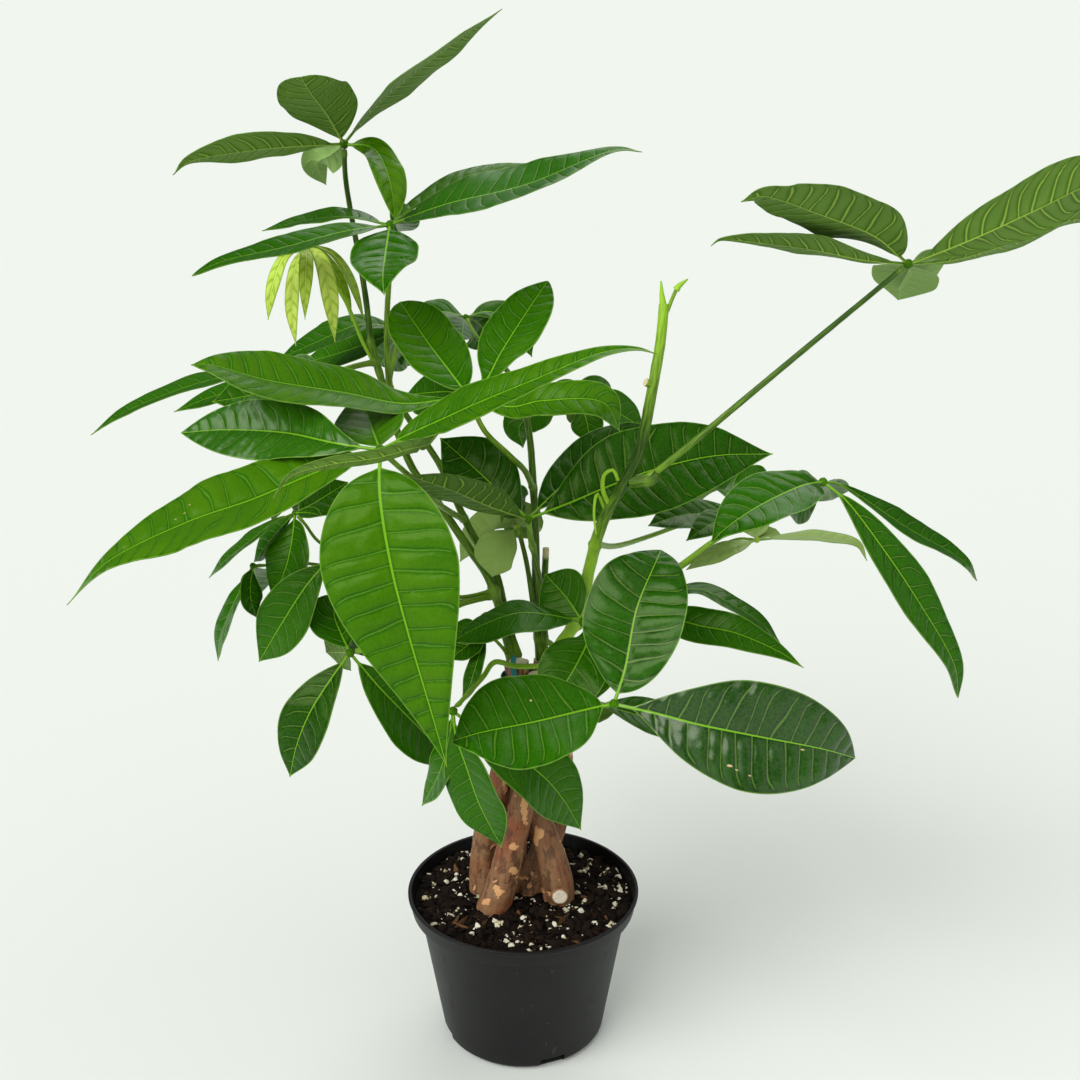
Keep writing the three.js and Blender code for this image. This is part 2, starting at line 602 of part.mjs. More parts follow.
function solidOf(geometry) {
  const bare = geometry.clone();
  bare.deleteAttribute('normal');
  bare.deleteAttribute('uv');
  const merged = mergeVertices(bare);
  return new wasm.Manifold(new wasm.Mesh({
    numProp: 3,
    vertProperties: new Float32Array(merged.attributes.position.array),
    triVerts: new Uint32Array(merged.index.array),
  }));
}

function joined(solids) {
  return solids.reduce((whole, solid) => whole.add(solid));
}

function meshOf(name, solid, look) {
  const { vertProperties, triVerts } = solid.getMesh();
  const geometry = new THREE.BufferGeometry();
  geometry.setAttribute('position', new THREE.Float32BufferAttribute(vertProperties, 3));
  geometry.setIndex(new THREE.Uint32BufferAttribute(triVerts, 1));
  geometry.computeVertexNormals();
  const mesh = new THREE.Mesh(geometry, new THREE.MeshStandardMaterial(LOOKS[look]));
  mesh.name = name;
  return mesh;
}

function closedGeometry(points, faces) {
  const geometry = new THREE.BufferGeometry();
  const flat = points.flatMap((point) => point.toArray());
  geometry.setAttribute('position', new THREE.Float32BufferAttribute(flat, 3));
  geometry.setIndex(faces);
  return geometry;
}

// A closed round tube along a curve, with its radius given along the curve from 0 to 1
function tubeSolid(curve, radiusAt, sides, steps) {
  const frames = curve.computeFrenetFrames(steps, false);
  const points = [];
  const faces = [];
  for (let i = 0; i <= steps; i += 1) {
    const along = i / steps;
    const centre = curve.getPointAt(along);
    for (let j = 0; j < sides; j += 1) {
      const turn = (2 * Math.PI * j) / sides;
      points.push(centre.clone()
        .addScaledVector(frames.normals[i], radiusAt(along) * Math.cos(turn))
        .addScaledVector(frames.binormals[i], radiusAt(along) * Math.sin(turn)));
    }
  }
  for (let i = 0; i < steps; i += 1) {
    for (let j = 0; j < sides; j += 1) {
      const a = i * sides + j;
      const b = i * sides + ((j + 1) % sides);
      faces.push(a, b, b + sides, a, b + sides, a + sides);
    }
  }
  const foot = points.push(curve.getPointAt(0)) - 1;
  const head = points.push(curve.getPointAt(1)) - 1;
  const last = steps * sides;
  for (let j = 0; j < sides; j += 1) {
    const next = (j + 1) % sides;
    faces.push(foot, next, j, head, last + j, last + next);
  }
  return solidOf(closedGeometry(points, faces));
}

// Pot

function potProfile() {
  const ledge = POT_HEIGHT - SKIRT_HEIGHT;
  const bandFoot = POT_HEIGHT - RIM_BAND;
  const inner = RIM_RADIUS - RIM_THICK;
  return [
    [0, 0],
    [BODY_FOOT_RADIUS - FOOT_ROUND, 0],
    [BODY_FOOT_RADIUS - FOOT_ROUND * FOOT_CUT, FOOT_ROUND * FOOT_CUT],
    [BODY_FOOT_RADIUS, FOOT_ROUND],
    [BODY_TOP_RADIUS, ledge],
    [SKIRT_FOOT_RADIUS, ledge],
    [RIM_RADIUS - RIM_SLOPE, bandFoot - RIM_CHAMFER],
    [RIM_RADIUS, bandFoot],
    [RIM_RADIUS, POT_HEIGHT - RIM_CHAMFER],
    [RIM_RADIUS - RIM_CHAMFER, POT_HEIGHT],
    [inner + RIM_CHAMFER, POT_HEIGHT],
    [inner, POT_HEIGHT - RIM_SLOPE],
    [SKIRT_FOOT_RADIUS - WALL, ledge + WALL],
    [BODY_TOP_RADIUS - WALL, ledge - WALL],
    [BODY_FOOT_RADIUS - WALL, FOOT_ROUND + FLOOR],
    [BODY_FOOT_RADIUS - WALL - FOOT_ROUND * INNER_FOOT_CUT, FLOOR],
    [0, FLOOR],
  ];
}

// The lathe turns about Y, so its shape is stood up with Y as the height
function latheGeometry(profile, segments) {
  const outline = profile.map(([radius, height]) => new THREE.Vector2(radius, height));
  const geometry = new THREE.LatheGeometry(outline, segments);
  geometry.rotateX(Math.PI / 2);
  return geometry;
}

function drainSlot(index) {
  const depth = 4 * WALL;
  const slot = new THREE.BoxGeometry(depth, DRAIN_WIDE, 2 * DRAIN_TALL);
  slot.translate(BODY_FOOT_RADIUS - WALL, 0, 0);
  slot.rotateZ(THREE.MathUtils.degToRad(DRAIN_FIRST_TURN + (360 * index) / DRAIN_SLOTS));
  return solidOf(slot);
}

function pot() {
  let solid = solidOf(latheGeometry(potProfile(), POT_SEGMENTS));
  for (let i = 0; i < DRAIN_SLOTS; i += 1) {
    solid = solid.subtract(drainSlot(i));
  }
  return meshOf('pot', solid, 'pot');
}

// Trunk strands

function strandTube(levels, swell) {
  const [x, y, z, radius] = levels[0];
  const buried = [x, y, STRAND_BURIED - swell, radius];
  const [topX, topY, topZ, topRadius] = levels[levels.length - 1];
  const spare = [topX, topY, topZ + STRAND_SPARE, topRadius];
  const upright = [x, y, z - STRAND_UPRIGHT, radius];
  const all = [buried, upright, ...levels, spare];
  const spots = all.map((level) => new THREE.Vector3(...level));
  const curve = new THREE.CatmullRomCurve3(spots, false, 'centripetal');
  const steps = Math.round(curve.getLength() / STRAND_STEP);
  const radiusAt = (along) => {
    const height = curve.getPointAt(along).z;
    const upper = all.findIndex((level) => level[2] >= height - 1e-6);
    const top = all[Math.max(upper, 1)];
    const below = all[Math.max(upper, 1) - 1];
    const share = (height - below[2]) / (top[2] - below[2]);
    return THREE.MathUtils.lerp(below[3], top[3], THREE.MathUtils.clamp(share, 0, 1)) + swell;
  };
  return tubeSolid(curve, radiusAt, STRAND_SIDES, steps);
}

function strandTop(name) {
  const levels = STRANDS[name];
  return levels[levels.length - 1][2];
}

// The pale round scar of a cut root on the front right strand
function rootScar() {
  const scar = new THREE.CylinderGeometry(
    SCAR_ROOT_RADIUS,
    SCAR_FACE_RADIUS,
    SCAR_LENGTH,
    SCAR_SIDES,
  );
  scar.translate(...SCAR_MIDDLE);
  return solidOf(scar);
}

function strand(name) {
  let solid = strandTube(STRANDS[name], 0).trimByPlane([0, 0, -1], -strandTop(name));
  if (name === 'strand_front_right') {
    solid = solid.add(rootScar());
  }
  return meshOf(name, solid, 'bark');
}

// Soil, with a plain hole for each strand

function soilLump(x, y) {
  const [wideX, wideY, fineX, fineY] = SOIL_LUMP_WAVES;
  const wide = Math.sin(wideX * x + SOIL_LUMP_TURN) * Math.cos(wideY * y);
  return SOIL_LUMP * (wide + SOIL_FINE_LUMP * Math.sin(fineX * x - fineY * y));
}

function soil() {
  const ledge = POT_HEIGHT - SKIRT_HEIGHT + WALL + GAP;
  const neck = BODY_TOP_RADIUS - WALL - GAP;
  const brim = SKIRT_FOOT_RADIUS - WALL - GAP;
  const foot = BODY_FOOT_RADIUS - WALL - GAP;
  const profile = [
    [0, FLOOR + SOIL_FLOOR_GAP],
    [foot - FOOT_ROUND * INNER_FOOT_CUT, FLOOR + SOIL_FLOOR_GAP],
    [foot, FOOT_ROUND + FLOOR],
    [neck - SOIL_WALL_GAP, ledge - SOIL_NECK_TALL],
    [neck - SOIL_WALL_GAP, ledge],
    [brim, ledge],
    [brim - SOIL_BRIM_SLOPE, SOIL_EDGE_HEIGHT],
    ...SOIL_RINGS.map((radius) => [radius, SOIL_EDGE_HEIGHT + SOIL_SWELL]),
  ];
  const geometry = latheGeometry(profile, SOIL_SEGMENTS);
  const spots = geometry.attributes.position;
  for (let i = 0; i < spots.count; i += 1) {
    if (spots.getZ(i) > SOIL_EDGE_HEIGHT + SOIL_SWELL / 2) {
      spots.setZ(i, spots.getZ(i) + soilLump(spots.getX(i), spots.getY(i)));
    }
  }
  let solid = solidOf(geometry);
  for (const levels of Object.values(STRANDS)) {
    solid = solid.subtract(strandTube(levels, GAP));
  }
  return meshOf('soil', solid, 'soil');
}

// The stretch tie round the strand tops

function tie() {
  const tops = Object.values(STRANDS).map((levels) => levels[levels.length - 2]);
  const middle = new THREE.Vector3();
  tops.forEach(([x, y]) => middle.add(new THREE.Vector3(x, y, 0)));
  middle.divideScalar(tops.length);
  const corners = tops.map(([x, y, , radius]) => {
    const out = new THREE.Vector3(x, y, 0).sub(middle);
    const reach = out.length() + radius + GAP + TIE_THICK + TIE_SLACK;
    return out.setLength(reach).add(middle);
  });
  const bearing = (spot) => Math.atan2(spot.y - middle.y, spot.x - middle.x);
  corners.sort((a, b) => bearing(a) - bearing(b));
  const curve = new THREE.CatmullRomCurve3(corners, true, 'centripetal');
  const line = curve.getPoints(TIE_STEPS).slice(0, -1);
  const ring = (inset) => line.map((spot) => {
    const away = new THREE.Vector3().subVectors(spot, middle);
    away.setLength(away.length() - inset).add(middle);
    return new THREE.Vector2(away.x, away.y);
  });
  const band = new THREE.Shape(ring(0));
  band.holes.push(new THREE.Path(ring(TIE_THICK).reverse()));
  const geometry = new THREE.ExtrudeGeometry(band, { depth: TIE_TALL, bevelEnabled: false });
  geometry.translate(0, 0, TIE_HEIGHT);
  return meshOf('tie', solidOf(geometry), 'tie');
}

// Leaves

function bladeShare(along, { fat = 0.54, slim = 1.25, foot = 0.9, tip = 1.2 }) {
  if (along <= ROOT_SHARE) {
    return 0;
  }
  if (along < fat) {
    return Math.sin((Math.PI / 2) * (along - ROOT_SHARE) / (fat - ROOT_SHARE)) ** foot;
  }
  return Math.max(0, Math.cos((Math.PI / 2) * ((along - fat) / (1 - fat)) ** slim)) ** tip;
}

function leafletSolid(hub, knob, { rib, wide, turn = 0, fold = 9, ...outline }) {
  const line = rib.map(place);
  const root = line[0].clone().sub(hub).setLength(knob * ROOT_SUNK).add(hub);
  const curve = new THREE.CatmullRomCurve3([root, ...line], false, 'centripetal');
  const rows = wide < SMALL_BLADE ? SMALL_ROWS : LARGE_ROWS;
  const points = [];
  rows.forEach((along, row) => {
    const middle = curve.getPointAt(along);
    const ahead = curve.getTangentAt(along);
    const toEye = EYE.clone().sub(middle).normalize();
    const face = toEye.addScaledVector(ahead, -toEye.dot(ahead)).normalize();
    face.applyAxisAngle(ahead, THREE.MathUtils.degToRad(turn));
    const side = new THREE.Vector3().crossVectors(ahead, face);
    const atRoot = along <= ROOT_SHARE;
    const least = atRoot ? ROOT_HALF_WIDTH : TIP_HALF_WIDTH;
    const half = Math.max(least, (wide / 2) * bladeShare(along, outline));
    const rise = half * Math.tan(THREE.MathUtils.degToRad(atRoot ? 0 : fold));
    const thick = atRoot ? ROOT_THICK : BLADE_THICK;
    for (const across of [-1, 0, 1]) {
      for (const up of [1, -1]) {
        points.push(middle.clone()
          .addScaledVector(side, across * half)
          .addScaledVector(face, Math.abs(across) * rise + (up * thick) / 2));
      }
    }
  });
  return solidOf(closedGeometry(points, sheetFaces(rows.length, 3)));
}

// Faces of a thin sheet: rows by columns of point pairs, an upper and a lower one
function sheetFaces(rows, columns) {
  const faces = [];
  const at = (row, column, lower) => (row * columns + column) * 2 + lower;
  const wall = (a, b, c, d) => faces.push(a, b, c, a, c, d);
  for (let row = 0; row + 1 < rows; row += 1) {
    for (let column = 0; column + 1 < columns; column += 1) {
      const mirrored = column * 2 >= columns - 1;
      for (const lower of [0, 1]) {
        const corners = [at(row, column, lower), at(row, column + 1, lower),
          at(row + 1, column + 1, lower), at(row + 1, column, lower)];
        const turned = mirrored ? [...corners.slice(1), corners[0]] : corners;
        if (lower) {
          turned.reverse();
          wall(turned[1], turned[2], turned[3], turned[0]);
        } else {
          wall(...turned);
        }
      }
    }
    const end = columns - 1;
    wall(at(row, 0, 0), at(row + 1, 0, 0), at(row + 1, 0, 1), at(row, 0, 1));
    wall(at(row, end, 1), at(row + 1, end, 1), at(row + 1, end, 0), at(row, end, 0));
  }
  for (let column = 0; column + 1 < columns; column += 1) {
    const end = rows - 1;
    wall(at(0, column, 0), at(0, column, 1), at(0, column + 1, 1), at(0, column + 1, 0));
    wall(at(end, column, 1), at(end, column, 0), at(end, column + 1, 0), at(end, column + 1, 1));
  }
  return faces;
}

function knobRadius(leaf) {
  return leaf.small ? SMALL_KNOB : KNOB;
}

function leafMesh(name, leaf) {
  const hub = place(leaf.hub);
  const knob = new THREE.IcosahedronGeometry(knobRadius(leaf), 0).translate(hub.x, hub.y, hub.z);
  const blades = leaf.leaflets.map((leaflet) => leafletSolid(hub, knobRadius(leaf), leaflet));
  return meshOf(name, joined([solidOf(knob), ...blades]), leaf.look ?? 'leaf');
}

// Shoots, with the petioles that grow from them

function stemSolid(points, radii, sides) {
  const curve = new THREE.CatmullRomCurve3(points, false, 'centripetal');
  const steps = Math.max(2, Math.round(curve.getLength() / STEM_STEP));
  const radiusAt = (along) => THREE.MathUtils.lerp(radii[0], radii[1], along);
  return tubeSolid(curve, radiusAt, sides, steps);
}

// A petiole stops just short of the knob that its leaflets grow from
function petioleSolid(leaf) {
  const line = leaf.petiole.map(place);
  const hub = place(leaf.hub);
  const away = line[line.length - 1].clone().sub(hub).setLength(knobRadius(leaf) + GAP);
  const end = hub.clone().add(away);
  const radii = leaf.small ? SMALL_PETIOLE_RADII : PETIOLE_RADII;
  return stemSolid([...line, end], radii, PETIOLE_SIDES);
}

function shootMesh(name, { look, seat, stems }) {
  const foot = strandTop(seat) + GAP;
  const parts = stems.map(({ line, radii }) => (
    stemSolid(line.map(place), radii, STEM_SIDES).trimByPlane([0, 0, 1], foot)
  ));
  for (const leaf of Object.values(LEAVES)) {
    if (leaf.stem === name) {
      parts.push(petioleSolid(leaf));
    }
  }
  return meshOf(name, joined(parts), look);
}

const plant = new THREE.Group();
plant.add(pot(), soil(), tie());
Object.keys(STRANDS).forEach((name) => plant.add(strand(name)));
Object.entries(SHOOTS).forEach(([name, shoot]) => plant.add(shootMesh(name, shoot)));
Object.entries(LEAVES).forEach(([name, leaf]) => plant.add(leafMesh(name, leaf)));

export default plant;
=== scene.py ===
"""A money tree with a braided trunk in a round nursery pot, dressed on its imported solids."""

from __future__ import annotations

import functools
import logging
import math
import random
from collections.abc import Callable, Sequence
from dataclasses import dataclass
from enum import Enum

import bmesh
import bpy
from mathutils import Matrix, Vector, noise

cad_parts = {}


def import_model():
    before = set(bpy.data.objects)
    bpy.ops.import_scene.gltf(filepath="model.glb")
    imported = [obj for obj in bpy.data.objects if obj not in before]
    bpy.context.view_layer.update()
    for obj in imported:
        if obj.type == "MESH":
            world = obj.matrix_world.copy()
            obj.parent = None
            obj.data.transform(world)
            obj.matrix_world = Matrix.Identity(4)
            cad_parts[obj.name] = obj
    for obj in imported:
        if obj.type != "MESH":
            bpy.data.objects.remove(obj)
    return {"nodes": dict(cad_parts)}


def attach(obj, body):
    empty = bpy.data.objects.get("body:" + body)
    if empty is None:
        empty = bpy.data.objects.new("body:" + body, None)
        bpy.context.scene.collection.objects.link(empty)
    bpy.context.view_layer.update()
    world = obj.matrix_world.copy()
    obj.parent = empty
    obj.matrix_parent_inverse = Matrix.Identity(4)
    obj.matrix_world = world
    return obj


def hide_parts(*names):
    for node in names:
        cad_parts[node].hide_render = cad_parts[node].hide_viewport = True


LOG = logging.getLogger("money_tree")
MM = 0.001
FULL_TURN = 2 * math.pi
TINY = 1e-4  # mm, below which places count as one

Spot = tuple[float, float, float]
Levels = tuple[tuple[float, float, float, float], ...]
Colour = tuple[float, float, float, float]
Marks = tuple[Spot, Spot]


# Shared sums


def smooth(value: float, low: float, high: float) -> float:
    """Returns 0 below low, 1 above high, and an even curve between them."""
    share = min(1.0, max(0.0, (value - low) / (high - low)))
    return share * share * (3 - 2 * share)


def blend(share: float, start: float, end: float) -> float:
    """Returns the number that lies the given share of the way from start to end."""
    return start + (end - start) * share


def ripple(place: Vector, scale: float, depth: int = 3) -> float:
    """Returns even, seedless noise of about -1 to 1 for a place in mm and a lump size in mm."""
    return noise.fractal(place / scale, 1.0, 2.0, depth, noise_basis="PERLIN_ORIGINAL")


def ink(red: int, green: int, blue: int) -> Colour:
    """Turns a screen colour into the linear colour that a shader takes.

    Args:
        red: 0 to 255, like the two others.
        green: The green.
        blue: The blue.

    Returns:
        Four numbers of 0 to 1.
    """
    tones = [shade / 255 for shade in (red, green, blue)]
    linear = [tone / 12.92 if tone <= 0.04045 else ((tone + 0.055) / 1.055) ** 2.4 for tone in tones]
    return (linear[0], linear[1], linear[2], 1.0)


# Layout


@dataclass(frozen=True)
class Viewpoint:
    """The place in front of the plant that stems and leaves are laid out from.

    A spot is (across, down, near): across and down in a picture 1080 units square, and near
    in mm, how far the spot lies in front of the pot's axis.
    """

    eye: Spot = (12, -768, 576)
    pitch: float = 15.2
    focal: float = 1200
    middle: float = 540
    sensor: float = 36

    def place(self, spot: Spot) -> Vector:
        """Finds where a spot lies.

        Args:
            spot: Across, down and near.

        Returns:
            The place in mm.
        """
        across, down, near = spot
        rise = self.middle - down
        tilt = math.radians(self.pitch)
        ahead = self.focal * math.cos(tilt) + rise * math.sin(tilt)
        up = rise * math.cos(tilt) - self.focal * math.sin(tilt)
        ray = Vector((across - self.middle, ahead, up))
        return Vector(self.eye) + ray * ((-near - self.eye[1]) / ray.y)

    def picture(self, place: Vector) -> tuple[float, float]:
        """Finds where a place shows.

        Args:
            place: A place in mm.

        Returns:
            Across and down in the picture.
        """
        way = Matrix.Rotation(math.radians(self.pitch), 3, "X") @ (place - Vector(self.eye))
        scale = self.focal / way.y
        return self.middle + way.x * scale, self.middle - way.z * scale


VIEW = Viewpoint()


class Course:
    """A smooth line through places, measured by its length."""

    samples = 200

    def __init__(self, places: Sequence[Vector]) -> None:
        """Measures the line.

        Args:
            places: The places that the line goes through, in mm.
        """
        self.places = list(places)
        steps = [self.spot(i / self.samples) for i in range(self.samples + 1)]
        self.lengths = [0.0]
        for before, after in zip(steps, steps[1:]):
            self.lengths.append(self.lengths[-1] + (after - before).length)
        self.length = self.lengths[-1]

    def spot(self, share: float) -> Vector:
        """Finds a place by its share of the spans, each span counted alike.

        Args:
            share: 0 at the first place and 1 at the last.

        Returns:
            The place in mm.
        """
        spans = len(self.places) - 1
        span = min(int(share * spans), spans - 1)
        part = share * spans - span
        start, end = self.places[span], self.places[span + 1]
        before = self.places[span - 1] if span else 2 * start - end
        after = self.places[span + 2] if span + 2 <= spans else 2 * end - start
        spread = ((before, start), (start, end), (end, after))
        gaps = [max((far - near).length, TINY) ** 0.5 for near, far in spread]
        leave = (start - before) / gaps[0] - (end - before) / (gaps[0] + gaps[1]) + (end - start) / gaps[1]
        arrive = (end - start) / gaps[1] - (after - start) / (gaps[1] + gaps[2]) + (after - end) / gaps[2]
        leave, arrive = leave * gaps[1], arrive * gaps[1]
        square, cube = part * part, part**3
        return (
            start * (2 * cube - 3 * square + 1)
            + leave * (cube - 2 * square + part)
            + end * (3 * square - 2 * cube)
            + arrive * (cube - square)
        )

    def at(self, share: float) -> Vector:
        """Finds a place by its share of the length.

        Args:
            share: 0 at the first place and 1 at the last.

        Returns:
            The place in mm.
        """
        target = min(1.0, max(0.0, share)) * self.length
        low, high = 0, self.samples
        while high - low > 1:
            half = (low + high) // 2
            if self.lengths[half] <= target:
                low = half
            else:
                high = half
        step = self.lengths[high] - self.lengths[low]
        part = (target - self.lengths[low]) / step if step else 0.0
        return self.spot((low + part) / self.samples)

    def ahead(self, share: float) -> Vector:
        """Returns the line's direction at a share of its length."""
        nudge = 0.0005
        return (self.at(share + nudge) - self.at(share - nudge)).normalized()

    def nearest(self, place: Vector) -> tuple[float, float]:
        """Finds where the line comes closest to a place.

        Args:
            place: A place in mm.

        Returns:
            The share of the length there, and how far off the place is.
        """
        gaps = {i: (self.spot(i / self.samples) - place).length for i in range(0, self.samples + 1, 2)}
        found = min(gaps, key=gaps.get)
        return self.lengths[found] / self.length, gaps[found]


# What grows where


@dataclass(frozen=True)
class Stem:
    """One stem of a shoot: the spots that it goes through and its radius in mm at both ends.

    tones are how bright its green is at even steps along it, where it isn't the shoot's own
    tone. cut is True where it ends in a healed cut.
    """

    line: tuple[Spot, ...]
    foot: float
    head: float
    tones: tuple[float, ...] = ()
    cut: bool = False


@dataclass(frozen=True)
class Shoot:
    """The stems that stand on one strand of the trunk."""

    name: str
    seat: str
    stems: tuple[Stem, ...]


@dataclass(frozen=True)
class Blade:
    """One leaflet.

    Its rib runs from the leaf's hub through the spots to the tip, and wide is its width in mm.
    turn is how far its upper side is turned about the rib from facing the viewpoint, and fold
    how far each half rises from the rib, in degrees. fat says where along the rib it is widest
    and slim how fast it narrows past that. foot is below 1 where it widens at once, and tip
    above 1 where it is drawn out to a fine tip. fresh is how bright its green is, quilt how much
    it swells between its veins and wax how shiny it is.
    """

    rib: tuple[Spot, ...]
    wide: float
    turn: float = 0
    fold: float = 9
    fat: float = 0.54
    slim: float = 1.25
    foot: float = 0.9
    tip: float = 1.2
    fresh: float = 0.5
    quilt: float = 1.0
    wax: float = 0.12


@dataclass(frozen=True)
class Fleck:
    """A dry fleck on a leaflet: which one, where along and across it, and its two sizes in mm."""

    leaf: str
    blade: int
    along: float
    across: float
    long: float
    wide: float


@dataclass(frozen=True)
class Leaf:
    """A leaf: its shoot, its hub, the petiole from the shoot to the hub, and its leaflets.

    stalk is how bright the petiole's green is at the hub.
    """

    name: str
    shoot: str
    hub: Spot
    petiole: tuple[Spot, ...]
    blades: tuple[Blade, ...]
    small: bool = False
    young: bool = False
    stalk: float = 0.5


# Strand centre lines in mm, with the radius at each level
STRANDS: dict[str, Levels] = {
    "strand_front_left": ((-22, -16, 97, 12.5), (-15.5, -16, 120, 11), (-8.5, -15.5, 147, 9.8),
        (-2.8, -15, 170, 8.9), (4.3, -13.5, 200, 8.1), (9, -12, 230, 7.4), (11, -11.5, 260, 6.9),
        (11, -11.5, 277, 6.7)),
    "strand_left": ((-28.3, 8, 97, 11.3), (-28, 8, 120, 11), (-25.5, 6, 147, 10.2), (-20.5, 4, 170, 9.3),
        (-14.5, 0, 200, 8.2), (-8.8, -3.6, 230, 7.4), (-3.2, -5.8, 260, 7), (-2.2, -6, 284, 6.8)),
    "strand_front_right": ((26, -4, 97, 11.4), (24, -7, 120, 11.3), (16.5, -4.5, 147, 10.6),
        (7, 2, 170, 9.4), (1, 9.5, 200, 8.1), (-1, 10.3, 230, 7.3), (-5.4, 8.6, 260, 6.7),
        (-6.3, 8.2, 276, 6.6)),
    "strand_right": ((3.8, 5.6, 97, 10.4), (10.4, 12, 120, 10.3), (21, 16.2, 147, 9.9), (25, 13, 170, 9.3),
        (27, 8, 200, 8.3), (26, 3, 230, 7.5), (23, 0.5, 260, 6.9), (22.4, 0.3, 279, 6.7)),
    "strand_back": ((-9, 29, 97, 11), (-9, 29.5, 120, 10.8), (-6, 28.5, 147, 10), (-3, 27, 170, 9.2),
        (4, 27.3, 200, 8.1), (10.5, 22.5, 230, 7.3), (13.8, 14.5, 260, 6.8), (13.8, 13.8, 278, 6.6)),
}

SHOOTS: tuple[Shoot, ...] = (
    Shoot("shoot_left", "strand_front_right", (
        Stem(((510.4, 676, -8), (510.4, 654, -8), (506, 636, -9), (498, 603, -11), (487, 575, -11),
             (470, 550, -14), (453, 525, -16), (434, 497, -17), (414, 471, -18), (396, 428, -20),
             (383, 385, -21), (375, 358, -22), (371, 343, -23)), 3.3, 2.2),
        Stem(((516.6, 676, -8.4), (516.6, 654, -8.4), (511, 636, -11), (503, 603, -15), (496, 575, -20),
             (484, 553, -24), (470, 530, -27), (455, 498, -30), (441, 467, -32), (428, 446, -34),
             (404, 412, -34), (388, 384, -32)), 3.3, 1.9),
    )),
    Shoot("shoot_centre", "strand_back", (
        Stem(((540, 674, -12), (540, 652, -12), (537, 620, -12), (536, 570, -10), (535, 520, -9),
             (533, 480, -9), (530, 440, -10), (526, 415, -14), (516, 385, -30), (498, 358, -50)), 3.4, 1.7),
        Stem(((539, 673, -15), (538, 650, -15), (531, 590, -6), (526, 560, -4), (520, 535, -3)), 2.4, 1.5),
        Stem(((545, 674, -12), (545, 652, -12), (541, 590, 0), (536, 562, 10), (531, 541, 18)), 2.4, 1.8),
        Stem(((545, 673, -15), (545, 650, -15), (544, 600, -13), (546, 548, -12)), 2.4, 2.2, cut=True),
    )),
    Shoot("shoot_right", "strand_right", (
        Stem(((555.2, 677, -0.3), (555.3, 657, -0.3), (560, 645, 3), (568, 634, 9), (575, 622, 14),
             (583, 596, 22), (591, 562, 35), (599, 532, 48), (608, 510, 57), (622, 486, 62), (637, 458, 64),
             (645, 428, 64), (651, 396, 62), (655, 375, 60), (660, 345, 58), (663, 318, 57),
             (664, 304, 56)), 4.4, 3, (0.9, 1.1, 1.1, 1.05, 0.8, 0.35, 0.15, 0.1, 0.4, 0.55, 0.75)),
        Stem(((664, 310, 56), (662, 296, 56), (661, 281, 56)), 2.4, 0.5, (1.0, 0.9)),
        Stem(((667, 312, 56), (673, 297, 57), (677, 288, 58)), 1.2, 1.1, (0.6, 0.5)),
        Stem(((676, 290, 58), (679, 286, 58), (688, 279, 59)), 2.2, 0.4, (0.9, 0.7)),
        Stem(((630, 481, 62), (650, 480, 65), (658, 474, 66)), 4.4, 3, (0.3, 0.2)),
        Stem(((653, 385, 61), (645, 382, 63)), 2.6, 2.3, (0.5, 0.5), True),
        Stem(((611, 508, 58), (603, 490, 64), (605, 474, 70), (613, 470, 72), (618, 480, 70)), 1.6, 1),
        Stem(((607, 514, 56), (597, 494, 62), (594, 512, 68), (596, 534, 68)), 1.2, 0.6),
    )),
)

